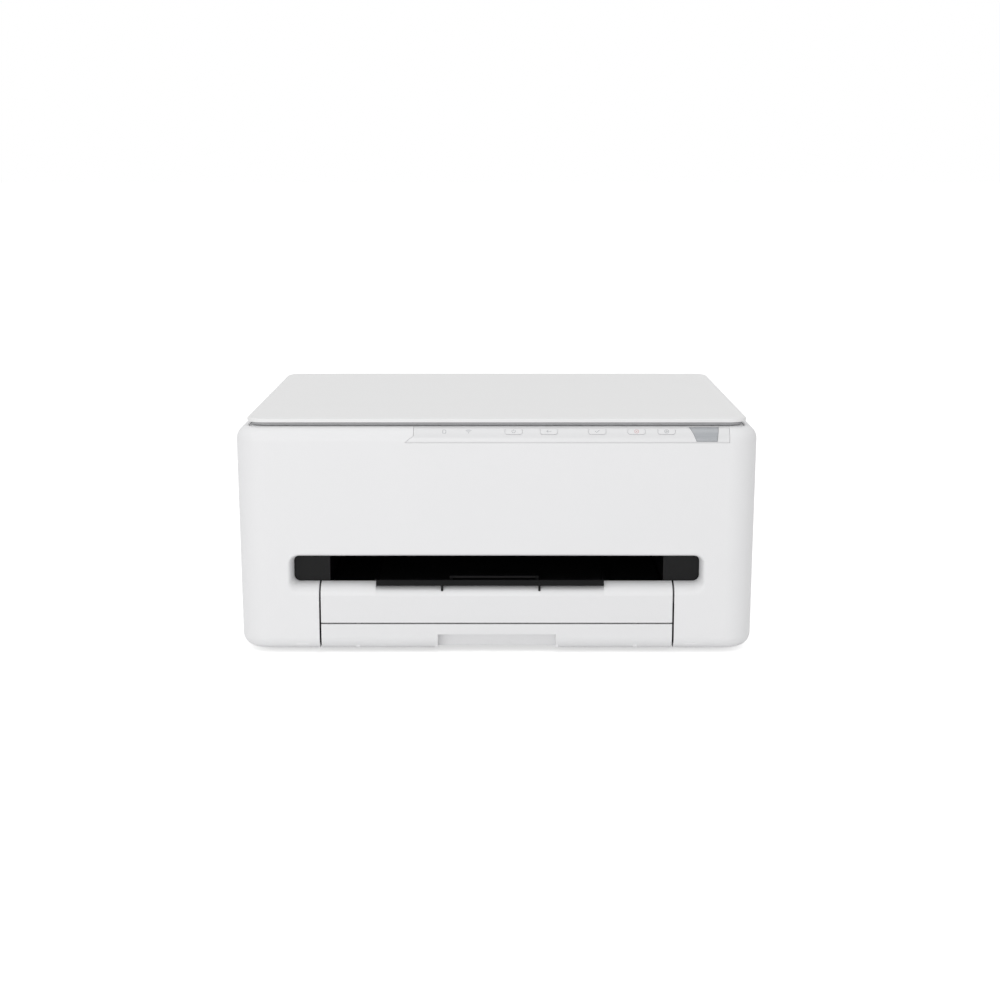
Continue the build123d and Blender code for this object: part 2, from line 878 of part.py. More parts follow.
def platen_glass():
    with BuildPart() as glass:
        with BuildSketch(Plane.XY.offset(glass_low)):
            with Locations((0, window_shift)):
                Rectangle(window_length + 2 * glass_margin, window_width + 2 * glass_margin)
        extrude(amount=glass_thick)
    return glass


def scan_head():
    with BuildPart() as head:
        x = (head_home - head_width / 2, head_home + head_width / 2)
        y = (window_shift - head_length / 2, window_shift + head_length / 2)
        top = glass_low - head_clear
        slab(x, y, (top - 13, top))
        chamfer(head.edges().filter_by(Axis.Y).group_by(Axis.Z)[-1], 2)
        slab((x[0] + 1, x[1] - 1), (-9, 9), (rail_top_z - 5, top - 12))
        rod((x[0] - 1, x[1] + 1), 0, rail_top_z, rail_radius + run_clear, Mode.SUBTRACT)
    return head


def stay_sector(inner, outer, low, high):
    """A part of a ring about the scanner's axis, between two angles below the level."""
    with BuildSketch(Plane.YZ) as area:
        with Locations((scanner_axis_y, scanner_axis_z)):
            Circle(outer)
            Circle(inner, mode=Mode.SUBTRACT)
            reach = 1.5 * outer
            points = [(-reach * cos(radians(a)), -reach * sin(radians(a))) for a in (low, high)]
            Polygon((0, 0), *points, align=None, mode=Mode.INTERSECT)
    return area.sketch


def stay_arm():
    start = degrees(asin((scanner_axis_z - scanner_low) / stay_radius)) - 1.0
    half = stay_width / 2
    x = -(frame_x - end_play)
    with BuildPart() as arm:
        sector = stay_sector(stay_radius - half, stay_radius + half, start, stay_end)
        extrude(Pos(x, 0, 0) * sector, amount=stay_thick)
        y = scanner_axis_y - stay_radius * cos(radians(start))
        slab((x, x + 9), (y - 9, y + 9), (scanner_low - 2, scanner_low))
        keep(z=(0, scanner_low))
    return arm


def frame_plate(side):
    """One side plate, with the bearings of the shafts and the pins of the loose gears."""
    x = sorted((side * frame_x, side * (frame_x + frame_thick)))
    with BuildPart() as plate:
        with BuildSketch(Plane.YZ.offset(x[0])):
            Polygon(
                (frame_front, floor_high),
                (frame_back, floor_high),
                (frame_back, supply_high),
                (rail_y + 16, frame_top),
                (frame_front + 14, frame_top),
                (frame_front, frame_top - 30),
                align=None,
            )
            holes = [(feed_at, feed_shaft), (eject_at, eject_shaft)]
            if side > 0:
                holes += [(turn_at, turn_shaft), (motor_at, 3.0)]
            for place, radius in holes:
                with Locations(place):
                    Circle(radius + run_clear, mode=Mode.SUBTRACT)
            with Locations((30, 104)):
                RectangleRounded(48, 22, 6, mode=Mode.SUBTRACT)
            with Locations((30, 26)):
                RectangleRounded(44, 16, 6, mode=Mode.SUBTRACT)
        extrude(amount=frame_thick)
        if side > 0:
            for place in (idler_at, turn_idler_at):
                rod((x[1] - 0.2, gear_span[1] + 0.6), *place, gear_pin)
        else:
            room = stay_width / 2 + end_play
            ring = stay_sector(stay_radius - room - 2, stay_radius + room + 2, 16.0, 19.0)
            hole = stay_sector(stay_radius - room, stay_radius + room, 15.0, 20.0)
            deep = stay_thick + 2 * end_play
            add_offset(ring, x[1], deep + 1.2)
            add_offset(hole, x[1], deep, Mode.SUBTRACT)
    return plate


def add_offset(area, x, amount, mode=Mode.ADD):
    """Extrudes a sketch on the YZ plane from a given X."""
    extrude(Pos(x, 0, 0) * area, amount=amount, mode=mode)


def engine_frame():
    """The moulded frame of the mechanism: two side plates and the deck between them."""
    sides = [frame_plate(-1), frame_plate(1)]
    with BuildPart() as deck:
        for side in sides:
            add(side.part)
        slab((-frame_x, frame_x), (frame_front, deck_back), (deck_low, deck_high))
        for y in (frame_front + 1, deck_back - 1):
            slab((-frame_x, frame_x), (y - 1, y + 1), (deck_low - 4, deck_low + 1))
        for x in both(arm_half + 4, arm_half + 7):
            slab(x, (arm_pivot_y - 6, arm_pivot_y + 6), (arm_pivot_z - 5, deck_low + 1))
        rod((-arm_half - 5, arm_half + 5), arm_pivot_y, arm_pivot_z, arm_pin)
        turn_span = paper_half + 6
        for x in both(turn_span, turn_span + 2.5):
            slab(x, (deck_back - 4, turn_y + 6), (turn_z - 8, deck_low + 1))
            slab(x, (deck_back - 4, turn_y + 6), (turn_z - 8, turn_z + 7))
            rod(x, turn_y, turn_z, turn_shaft + run_clear, Mode.SUBTRACT)
        # room for the feed motor
        room = feed_motor_radius + 1.5
        slab(
            (frame_x - feed_motor_length - 2, frame_x + 1),
            (motor_at[0] - room, motor_at[0] + room),
            (deck_low - 6, deck_high + 1),
            Mode.SUBTRACT,
        )
    return deck


def platen():
    """The ribbed plate that holds the paper flat under the carriage."""
    low = (eject_y + eject_radius + 2.5, feed_y - feed_radius - 2.5)
    with BuildPart() as plate:
        slab((-paper_half - 4, paper_half + 4), low, (deck_high, deck_high + 7))
        slab(
            (-paper_half - 4, paper_half + 4),
            (low[0] + 8, low[1] - 8),
            (deck_high + 2, deck_high + 9),
            Mode.SUBTRACT,
        )
        for step in range(-9, 10):
            x = step * 12.0
            slab((x - 0.7, x + 0.7), low, (deck_high, paper_z - paper_gap))
    return plate


def feed_roller():
    with BuildPart() as roller:
        rod((-paper_half - 2, paper_half + 2), *feed_at, feed_radius)
        rod((-frame_x - frame_thick - 2, gear_span[1] + 0.8), *feed_at, feed_shaft)
        train_gear(feed_teeth, feed_phase, feed_at, feed_shaft / 2)
    return roller


def eject_roller():
    with BuildPart() as roller:
        rod((-frame_x - frame_thick - 2, gear_span[1] + 0.8), *eject_at, eject_shaft)
        train_gear(eject_teeth, eject_phase, eject_at, eject_shaft / 2)
        for x in roller_places:
            rod((x - 6, x + 6), *eject_at, eject_radius)
    return roller


def turn_roller():
    with BuildPart() as roller:
        rod((-paper_half, paper_half), *turn_at, turn_radius)
        for x in roller_places:
            rod((x - 14, x + 14), *turn_at, turn_radius + turn_sleeve)
        rod((-paper_half - 9.5, gear_span[1] + 0.8), *turn_at, turn_shaft)
        train_gear(turn_teeth, turn_phase, turn_at, turn_shaft / 2)
    return roller


def pinch_rollers():
    with BuildPart() as rollers:
        z = paper_z + paper_gap + pinch_radius
        rod((-paper_half, paper_half), feed_y, z, pinch_shaft)
        for x in roller_places:
            rod((x - 8, x + 8), feed_y, z, pinch_radius)
    return rollers


def pinch_holder():
    """The bracket on the carriage rail that carries the pinch rollers."""
    z = paper_z + paper_gap + pinch_radius
    with BuildPart() as holder:
        slab(
            (-paper_half - 4, paper_half + 4),
            (feed_y - 4, rail_y),
            (z + pinch_radius + 2, z + pinch_radius + 4),
        )
        slab((-paper_half - 4, paper_half + 4), (rail_y - 2, rail_y), (z + pinch_radius + 2, rail_low + 5))
        for x in [x + step for x in roller_places for step in (-10.5, 10.5)]:
            slab((x - 1.2, x + 1.2), (feed_y - 3, feed_y + 3), (z - 2.5, z + pinch_radius + 3))
        rod((-paper_half - 5, paper_half + 5), feed_y, z, pinch_shaft + run_clear, Mode.SUBTRACT)
    return holder


def star_wheels():
    """The toothed discs that press the fresh print on the eject roller without smearing it."""
    z = eject_z + eject_radius + paper_gap + star_radius
    points = []
    for step in range(20):
        radius = star_radius if step % 2 == 0 else star_radius * 0.78
        angle = 2 * pi * (step + 0.5) / 20
        points.append((radius * cos(angle), radius * sin(angle)))
    with BuildPart() as wheels:
        rod((-paper_half, paper_half), eject_y, z, 0.8)
        for x in roller_places:
            with BuildSketch(Plane.YZ.offset(x - star_thick / 2)):
                with Locations((eject_y, z)):
                    Polygon(*points, align=None)
            extrude(amount=star_thick)
    return wheels


def star_holder():
    """The beam between the side plates that carries the star wheels."""
    z = eject_z + eject_radius + paper_gap + star_radius
    with BuildPart() as holder:
        slab((-frame_x, frame_x), (eject_y - 7, eject_y + 3), (z + star_radius + 1, z + star_radius + 3))
        for x in [x + step for x in roller_places for step in (-4, 4)]:
            slab((x - 1.2, x + 1.2), (eject_y - 2.5, eject_y + 2.5), (z - 2, z + star_radius + 2))
        rod((-paper_half - 5, paper_half + 5), eject_y, z, 0.8 + run_clear, Mode.SUBTRACT)
        for x in both(frame_x - 8, frame_x):
            slab(x, (eject_y - 7, eject_y + 3), (z + star_radius - 3, z + star_radius + 3))
    return holder


def train_gear(teeth, phase, centre, bore):
    """Adds one gear of the train beside the right-hand side plate."""
    gear(teeth, gear_module, phase, Plane.YZ.offset(gear_span[0]), centre, gear_width, bore)


def loose_gear(teeth, phase, centre):
    with BuildPart() as wheel:
        train_gear(teeth, phase, centre, gear_pin + run_clear)
    return wheel


def feed_motor():
    with BuildPart() as motor:
        rod((frame_x - feed_motor_length, frame_x), *motor_at, feed_motor_radius)
        chamfer(motor.edges().sort_by(Axis.X)[0], 1)
        rod((frame_x - feed_motor_length - 2, frame_x - 4), *motor_at, 3)
    return motor


def motor_pinion():
    with BuildPart() as pinion:
        train_gear(motor_teeth, motor_phase, motor_at, 0.5)
        rod((frame_x + 0.3, gear_span[1]), *motor_at, 1.2)
    return pinion


def pickup_arm():
    pivot = (arm_pivot_y, arm_pivot_z)
    tip = (pickup_y, pickup_z)
    with BuildPart() as arm:
        with BuildSketch(Plane.YZ.offset(-arm_half)):
            with Locations(pivot):
                Circle(5)
            with Locations(tip):
                Circle(4)
            make_hull()
        extrude(amount=2 * arm_half)
        # room for the roller between the cheeks
        room = pickup_radius + 1.0
        inner = arm_half - arm_thick
        with BuildSketch(Plane.YZ.offset(-inner)):
            with Locations(tip):
                Circle(room)
        extrude(amount=2 * inner, mode=Mode.SUBTRACT)
        with BuildSketch(Plane.YZ.offset(-inner)):
            with Locations(pivot):
                Circle(3.4)
            with Locations(tip):
                Circle(2.2)
            make_hull()
        extrude(amount=2 * inner, mode=Mode.SUBTRACT)
        with BuildSketch(Plane.YZ.offset(-1.5)):
            with Locations(pivot):
                Circle(4.5)
        extrude(amount=3)
        rod((-arm_half - 1, arm_half + 1), *pivot, arm_pin + run_clear, Mode.SUBTRACT)
        rod((-arm_half - 1, arm_half + 1), *tip, pickup_pin + run_clear, Mode.SUBTRACT)
    return arm


def pickup_roller():
    inner = arm_half - arm_thick - end_play
    with BuildPart() as roller:
        rod((-inner, inner), pickup_y, pickup_z, pickup_radius)
        rod((-arm_half, arm_half), pickup_y, pickup_z, pickup_pin)
    return roller


def carriage_rail():
    with BuildPart() as rail:
        slab((-frame_x, frame_x), (rail_y, rail_y + rail_thick), (rail_low, rail_high))
        slab((-frame_x, frame_x), (rail_y, rail_y + rail_flange), (rail_low, rail_low + rail_thick))
        for x in both(frame_x - rail_thick, frame_x):
            slab(x, (rail_y, rail_y + rail_flange), (rail_low, rail_high - 10))
        for x in (-pulley_x, pulley_x):
            with BuildSketch(Plane.XZ.offset(-rail_y + 1)):
                with Locations((x, belt_z)):
                    Circle(pulley_pin + run_clear)
            extrude(amount=-rail_thick - 2, mode=Mode.SUBTRACT)
        # the ruled strip that the carriage reads its place from
        y = belt_y + belt_width / 2 + strip_gap
        slab((-frame_x, frame_x), (y, y + strip_thick), (belt_z + 9.5, belt_z + 14))
        for x in both(frame_x - 4, frame_x):
            slab(x, (y, rail_y + 0.5), (belt_z + 10, belt_z + 13.5))
    return rail


def drive_belt():
    outer = pulley_radius + 0.1 + belt_thick
    with BuildPart() as belt:
        with BuildSketch(Plane.XZ.offset(-belt_y - belt_width / 2)):
            with Locations((0, belt_z)):
                SlotCenterToCenter(2 * pulley_x, 2 * outer)
                SlotCenterToCenter(2 * pulley_x, 2 * (outer - belt_thick), mode=Mode.SUBTRACT)
        extrude(amount=belt_width)
    return belt


def pulley(x, length):
    """A belt pulley on its pin, which runs in the rail."""
    with BuildPart() as wheel:
        for low, high, radius in (
            (belt_y - belt_width / 2 + 0.3, belt_y + belt_width / 2 - 0.3, pulley_radius),
            (belt_y - belt_width / 2 + 0.3, belt_y + length, pulley_pin),
        ):
            with BuildSketch(Plane.XZ.offset(-high)):
                with Locations((x, belt_z)):
                    Circle(radius)
            extrude(amount=high - low)
    return wheel


def carriage_motor():
    start = rail_y + rail_thick
    with BuildPart() as motor:
        with BuildSketch(Plane.XZ.offset(-start)):
            with Locations((-pulley_x, belt_z)):
                Circle(11)
                Circle(pulley_pin + 0.5, mode=Mode.SUBTRACT)
        extrude(amount=-16)
        chamfer(motor.edges().sort_by(Axis.Y)[-1], 1)
    return motor


def carriage():
    x = (carriage_home - carriage_half, carriage_home + carriage_half)
    bay = cartridge_width + 2 * cartridge_clear
    with BuildPart() as cradle:
        slab(x, (carriage_front, carriage_back), (carriage_low, carriage_high))
        fillet(cradle.edges().filter_by(Axis.Z).group_by(Axis.Y)[0], 4)
        for side in (-1, 1):
            centre = carriage_home + side * cartridge_pitch / 2
            inner = (centre - bay / 2, centre + bay / 2)
            walls = (carriage_front + carriage_wall, carriage_back - carriage_wall)
            slab(inner, walls, (carriage_low + carriage_wall, carriage_high + 1), Mode.SUBTRACT)
            nose = (inner[0] + 1.5, inner[1] - 1.5)
            slab(nose, (nose_front - 0.5, nose_back + 0.5), (carriage_low - 1, carriage_high), Mode.SUBTRACT)
        slab(
            (x[0] + 8, x[1] - 8),
            (carriage_front - 1, carriage_front + carriage_wall + 0.1),
            (carriage_low + 18, carriage_high + 1),
            Mode.SUBTRACT,
        )
        # hook over the top of the rail, and the pad that runs on its face
        hook = (x[0] + 4, x[1] - 4)
        over = rail_high + 0.4
        slab(hook, (carriage_back - 2.5, carriage_back), (carriage_high - 1, over + 2))
        slab(hook, (carriage_back - 2.5, rail_y + rail_thick + 2.6), (over, over + 2))
        slab(hook, (rail_y + rail_thick + 0.4, rail_y + rail_thick + 2.6), (over - 6, over + 1))
        slab(hook, (carriage_back - 1, rail_y - 0.4), (rail_low + 6, rail_low + 9.5))
        # jaws on the lower run of the belt
        run = belt_z - pulley_radius - 0.1
        jaw = (carriage_home - 8, carriage_home + 8)
        reach = belt_y + belt_width / 2 + 0.2
        slab(jaw, (carriage_back - 1, reach), (run + 0.3, run + 3))
        slab(jaw, (carriage_back - 1, reach), (run - belt_thick - 3, run - belt_thick - 0.3))
        # ears of the cover over the cartridges
        for low in (x[0] + 0.6, x[1] - 3.0):
            ear = (low, low + 2.4)
            slab(ear, (lever_axis_y - 2, lever_axis_y + 2), (carriage_high - 1, lever_axis_z))
            rod(ear, lever_axis_y, lever_axis_z, 2)
            rod(ear, lever_axis_y, lever_axis_z, 1 + run_clear, Mode.SUBTRACT)
    return cradle


def cartridge_cover():
    """The hinged cover that presses the cartridges home."""
    x = (carriage_home - carriage_half + 3.4, carriage_home + carriage_half - 3.4)
    with BuildPart() as cover:
        edge = carriage_front + 6
        slab(x, (edge, lever_axis_y), (carriage_high + 0.5, carriage_high + 2.1))
        slab(x, (edge, edge + 2), (carriage_high + 0.5, carriage_high + 5))
        rod(x, lever_axis_y, lever_axis_z, 2)
        rod((x[0] - 2.6, x[1] + 2.6), lever_axis_y, lever_axis_z, 1)
        # windows over the cartridges
        for side in (-1, 1):
            centre = carriage_home + side * cartridge_pitch / 2
            slab(
                (centre - 9, centre + 9),
                (edge + 10, lever_axis_y - 10),
                (carriage_high, carriage_high + 3),
                Mode.SUBTRACT,
            )
    return cover


def cartridge(side):
    """One ink tank with its nozzle plate below and a grip at the front."""
    centre = carriage_home + side * cartridge_pitch / 2
    x = (centre - cartridge_width / 2, centre + cartridge_width / 2)
    low = carriage_low + carriage_wall
    wall_gap = carriage_wall + cartridge_clear
    with BuildPart() as tank:
        slab(x, (carriage_front + wall_gap, carriage_back - wall_gap), (low, carriage_high - 1))
        chamfer(tank.edges().filter_by(Axis.X).group_by(Axis.Z)[-1], 2)
        slab((x[0] + 2, x[1] - 2), (nose_front, nose_back), (nose_low, low + 1))
        chamfer(tank.edges().filter_by(Axis.X).group_by(Axis.Z)[0], 2)
        # grip rib at the front
        slab(
            (centre - 7, centre + 7),
            (carriage_front + wall_gap - 1.5, carriage_front + 6),
            (carriage_high - 10, carriage_high - 7),
        )
    return tank


def purge_unit():
    """The service station under the carriage's resting place, with one cap for each cartridge."""
    x = (paper_half + 8, frame_x - 2)
    with BuildPart() as unit:
        slab(x, (nose_front - 4, nose_back + 6), (deck_high, deck_high + 9))
        fillet(unit.edges().filter_by(Axis.Z), 2)
        for side in (-1, 1):
            centre = carriage_home + side * cartridge_pitch / 2
            half = cartridge_width / 2 - 3
            slab(
                (centre - half, centre + half),
                (nose_front + 2, nose_back - 2),
                (deck_high + 8, nose_low - 0.4),
            )
            slab(
                (centre - half + 2, centre + half - 2),
                (nose_front + 4, nose_back - 4),
                (nose_low - 4, nose_low),
                Mode.SUBTRACT,
            )
        # the wiper blade beside the caps
        blade = (x[0] + 0.6, x[0] + 1.8)
        slab(blade, (nose_front + 1, nose_back - 1), (deck_high + 8.5, nose_low - 0.3))
    return unit


def ink_absorber():
    with BuildPart() as felt:
        slab((-low_half + bottom_flange + 8.5, -cassette_half - 4), (-112, -34), (foot_height + wall, 27))
        fillet(felt.edges().filter_by(Axis.Z), 3)
    return felt


def separation_bank():
    """The slope behind the cassette that turns the top sheet upwards."""
    low = foot_height + wall
    base_y = back - cassette_back + 1.2
    with BuildPart() as bank:
        for span in [(-paper_half, paper_half)]:
            with BuildSketch(Plane.YZ.offset(span[0])):
                Polygon(
                    (base_y, low),
                    (base_y + 2, low),
                    (base_y + 5, door_low + 4),
                    (base_y + 3, door_low + 4),
                    align=None,
                )
            extrude(amount=span[1] - span[0])
        slab((-paper_half, paper_half), (base_y, base_y + 6.5), (low, low + 2))
        for step in range(-4, 5):
            x = step * 26.0
            with BuildSketch(Plane.YZ.offset(x - 0.8)):
                Polygon(
                    (base_y + 1, low),
                    (base_y + 6.5, low),
                    (base_y + 6.5, door_low),
                    (base_y + 4, door_low + 3),
                    align=None,
                )
            extrude(amount=1.6)
    return bank


def power_supply():
    x = (-frame_x, supply_length - frame_x)
    with BuildPart() as supply:
        slab(x, (supply_front, supply_back), (supply_low, supply_high))
        fillet(supply.edges().filter_by(Axis.Z).group_by(Axis.X)[-1], 3)
        for step in range(5):
            z = supply_low + 14 + 9.0 * step
            slab((x[1] - 1.5, x[1] + 1), (supply_front + 8, supply_back - 8), (z, z + 3), Mode.SUBTRACT)
    return supply


def power_inlet():
    fit = socket_fit
    x = (inlet_x[0] + fit, inlet_x[1] - fit)
    z = (inlet_z[0] + fit, inlet_z[1] - fit)
    mid = ((x[0] + x[1]) / 2, (z[0] + z[1]) / 2)
    with BuildPart() as inlet:
        slab(x, (supply_back, back - 0.5), z)
        fillet(inlet.edges().filter_by(Axis.Y), 2)
        with BuildSketch(Plane.XZ.offset(-back + 0.5)):
            with Locations(mid):
                SlotOverall(x[1] - x[0] - 3, z[1] - z[0] - 4)
        extrude(amount=7, mode=Mode.SUBTRACT)
        for step in (-2.5, 2.5):
            with BuildSketch(Plane.XZ.offset(-back + 2)):
                with Locations((mid[0] + step, mid[1])):
                    Circle(0.9)
            extrude(amount=6)
    return inlet


def main_board():
    y = (board_back - board_thick, board_back)
    with BuildPart() as board:
        slab(board_x, y, board_z)
        chips = ((134, 100, 14), (160, 108, 9), (140, 60, 10), (165, 84, 7))
        for x, z, size in chips:
            slab((x - size / 2, x + size / 2), (y[0] - 2, y[0] + 0.2), (z - size / 2, z + size / 2))
        for x in (126, 150):
            slab((x, x + 16), (y[0] - 6, y[0] + 0.2), (board_z[0] + 4, board_z[0] + 9))
    return board


def usb_port():
    fit = socket_fit
    x = (usb_x[0] + fit, usb_x[1] - fit)
    z = (usb_z[0] + fit, usb_z[1] - fit)
    with BuildPart() as port:
        slab(x, (board_back, back - 0.5), z)
        slab((x[0] + 2, x[1] - 2), (board_back + 1.5, back), (z[0] + 2, z[1] - 2), Mode.SUBTRACT)
        slab((x[0] + 4, x[1] - 4), (board_back + 1, back - 2.5), (z[0] + 4, z[1] - 4))
    return port


def rear_door():
    with BuildPart() as door:
        slab((-door_half, door_half), (back - wall, back), (door_axis_z, door_high))
        rod((-door_half, door_half), door_axis_y, door_axis_z, wall)
        pin = door_half + door_pin_length
        rod((-pin, pin), door_axis_y, door_axis_z, door_pin)
        # ribs that guide the paper behind the turn roller
        step = 2 * (paper_half - 4) / (door_ribs - 1)
        rib_face = turn_y + turn_radius + turn_sleeve + door_rib_clear
        for place in range(door_ribs):
            x = place * step - paper_half + 4
            with BuildSketch(Plane.YZ.offset(x - 1)):
                Polygon(
                    (rib_face + door_rib_lead, door_rib_low),
                    (back - wall / 2, door_rib_low),
                    (back - wall / 2, paper_z),
                    (rib_face + door_rib_lead, paper_z),
                    (rib_face, paper_z - door_rib_lead),
                    (rib_face, door_rib_low + door_rib_lead),
                    align=None,
                )
            extrude(amount=2)
        # finger recess at the top
        slab((-20, 20), (back - 1.2, back + 1), (door_high - 12, door_high - 3), Mode.SUBTRACT)
    return door


def cassette_tray():
    y = (front + cassette_front, back - cassette_back)
    x = (-cassette_half, cassette_half)
    with BuildPart() as tray:
        slab(x, y, (cassette_low, cassette_high))
        inner = (-cassette_half + cassette_wall, cassette_half - cassette_wall)
        slab(
            inner,
            (y[0] + cassette_wall, y[1] + 1),
            (cassette_low + cassette_floor, cassette_high + 1),
            Mode.SUBTRACT,
        )
        floor = cassette_low + cassette_floor
        with BuildSketch(Plane.XY.offset(floor - 0.2)):
            with Locations((0, pinion_y)):
                Circle(3)
        extrude(amount=slide_clear + rack_thick + 0.8)
        # rails that keep the side guides and the end guide straight
        for y_rail in (pinion_y - guide_length / 2 - 2.4, pinion_y + guide_length / 2 + 0.9):
            for x_rail in both(guide_paper - guide_travel, guide_paper + 14):
                slab(x_rail, (y_rail, y_rail + 1.5), (floor - 0.2, floor + 2))
        for x_rail in both(end_half + 0.9, end_half + 2.4):
            slab(x_rail, (y[0] + 4, pinion_y - 20), (floor - 0.2, floor + 2))
    return tray


def cassette_panel():
    """The lower white front, with the finger recess in its underside."""
    half = bay_half - front_gap
    tray_face = front + cassette_front
    with BuildPart() as panel:
        add(body_shell)
        keep(x=(-half, half), y=(front - 1, tray_face), z=(0, cassette_panel_high))
        slab((-grip_half, grip_half), (front - 1, tray_face + 1), (0, grip_top), Mode.SUBTRACT)
        roof = (front + wall - 0.3, tray_face)
        slab((-grip_half - 2, grip_half + 2), roof, (grip_top, grip_top + 2))
        for x in both(grip_half, grip_half + 2):
            slab(x, (front + wall - 0.3, tray_face), (foot_height + wall - 0.5, grip_top + 2))
        for x in both(half - 30, half - 27):
            slab(x, (front + wall - 0.3, tray_face), (foot_height + wall - 0.2, cassette_panel_high - 1))
    return panel


def side_guide(side):
    """One sliding paper guide with its rack; the two racks face each other across the pinion."""
    floor = cassette_low + cassette_floor + slide_clear
    pitch = pi * rack_module
    reach = pinion_teeth * rack_module / 2
    wall_x = sorted((side * guide_paper, side * (guide_paper + guide_thick)))
    foot_x = sorted((side * guide_paper, side * (guide_paper + 13)))
    y = (pinion_y - guide_length / 2, pinion_y + guide_length / 2)
    root = 1.2 * rack_module
    tip = 0.85 * rack_module
    half_tooth = pitch / 4 - gear_backlash / 2
    with BuildPart() as guide:
        slab(wall_x, y, (floor, guide_high))
        slab(foot_x, y, (floor, floor + guide_foot))
        # the rack bar, with teeth towards the pinion
        bar_y = sorted((pinion_y - side * (reach + root), pinion_y - side * (reach + root + rack_bar)))
        bar_x = sorted((-side * 8.0, side * guide_paper))
        slab(bar_x, bar_y, (floor, floor + rack_thick))
        line = pinion_y - side * reach
        for count in range(-2, rack_pitch_count - 2):
            x = side * count * pitch
            with BuildSketch(Plane.XY.offset(floor)):
                spread = tan(radians(20))
                Polygon(
                    (x - half_tooth - spread * (root + 0.1), line - side * (root + 0.1)),
                    (x + half_tooth + spread * (root + 0.1), line - side * (root + 0.1)),
                    (x + half_tooth - spread * tip, line + side * tip),
                    (x - half_tooth + spread * tip, line + side * tip),
                    align=None,
                )
            extrude(amount=rack_thick)
        # notch that lets the other guide's rack pass
        other = sorted((pinion_y + side * (reach - tip - 1), pinion_y + side * (reach + root + rack_bar + 1)))
        notch_x = sorted((side * (guide_paper - 0.1), side * (guide_paper + 14)))
        slab(notch_x, other, (floor - 1, floor + rack_thick + 0.8), Mode.SUBTRACT)
    return guide


def guide_pinion():
    floor = cassette_low + cassette_floor + slide_clear
    with BuildPart() as pinion:
        phase = pi / 2 + pi / pinion_teeth
        gear(pinion_teeth, rack_module, phase, Plane.XY.offset(floor), (0, pinion_y), rack_thick, 3 + run_clear)
    return pinion


def end_guide():
    floor = cassette_low + cassette_floor + slide_clear
    start = front + cassette_front + cassette_wall + 3
    with BuildPart() as guide:
        slab((-end_half, end_half), (start, start + guide_thick), (floor, guide_high))
        slab((-end_half, end_half), (start, start + 26), (floor, floor + guide_foot))
        for x in both(8, 10):
            with BuildSketch(Plane.YZ.offset(x[0])):
                Polygon((start, floor), (start + 14, floor), (start, guide_high - 3), align=None)
            extrude(amount=2)
    return guide


def output_panel():
    """The upper white front, whose rolled top edge is the sill of the paper slot."""
    half = bay_half - front_gap
    with BuildPart() as panel:
        add(body_shell)
        keep(x=(-half, half), y=(front - 1, slot_inner), z=(output_panel_low, slot_low + 1))
        slab((-half, half), (front + wall / 2, slot_inner), (slot_low - sill_drop - 3, slot_low))
        slab((-half, half), (front + wall / 2, slot_inner - 3), (output_panel_low, output_panel_low + 2))
        for x in both(60, 62):
            slab(x, (front + wall / 2, slot_inner - 3), (output_panel_low, slot_low - sill_drop - 1))
        add(cutter, mode=Mode.SUBTRACT)
        # shallow scoop for the fingers in the sill
        arc = (scoop_half**2 + scoop_depth**2) / (2 * scoop_depth)
        with BuildSketch(Plane.XZ.offset(half_depth + 1)):
            with Locations((-3, slot_low - scoop_depth + arc)):
                Circle(arc)
            with Locations((-3, slot_low)):
                Rectangle(2 * scoop_half + 4, 4 * scoop_depth, mode=Mode.INTERSECT)
        extrude(amount=-sill_depth - 2, mode=Mode.SUBTRACT)
    return panel


def output_tray():
    rail = extension_thick + slide_clear + 0.4
    with BuildPart() as tray:
        slab((-tray_half, tray_half), (slot_inner, tray_rear), (slot_low - tray_thick, slot_low))
        for x in (
            (extension_left - slide_clear - 2, extension_left - slide_clear),
            (extension_right + slide_clear, extension_right + slide_clear + 2),
        ):
            slab(x, (slot_inner + 2, tray_rear), (slot_low - 0.5, slot_low + rail))
        for step in range(-4, 5):
            x = step * 28.0
            slab(
                (x - 0.8, x + 0.8),
                (slot_inner, tray_rear),
                (slot_low - tray_thick - 2.4, slot_low - tray_thick + 0.1),
            )
    return tray


def tray_extension():
    z = slot_low + slide_clear
    y = (slot_inner - 3, extension_rear)
    with BuildPart() as plate:
        slab((extension_left, extension_right), y, (z, z + extension_thick))
        slab(
            (extension_left, extension_right),
            (y[0] - 3, y[0] + 0.1),
            (slot_low + 0.25, z + extension_thick),
        )
        fillet(plate.edges().filter_by(Axis.Z).group_by(Axis.Y)[0], 2)
        for x in ((stop_left - 2.8, stop_left - 0.4), (stop_right + 0.4, stop_right + 2.8)):
            slab(x, (stop_axis_y - 1.6, stop_axis_y + 1.6), (z + 1, stop_axis_z))
            rod(x, stop_axis_y, stop_axis_z, 1.6)
            rod(x, stop_axis_y, stop_axis_z, 0.8 + run_clear, Mode.SUBTRACT)
    return plate


def paper_stop():
    with BuildPart() as stop:
        low = stop_axis_z - 1.6
        slab((stop_left, stop_right), (stop_axis_y, stop_axis_y + stop_length), (low, low + 1.6))
        rod((stop_left, stop_right), stop_axis_y, stop_axis_z, 1.6)
        rod((stop_left - 2.6, stop_right + 2.6), stop_axis_y, stop_axis_z, 0.8)
    return stop


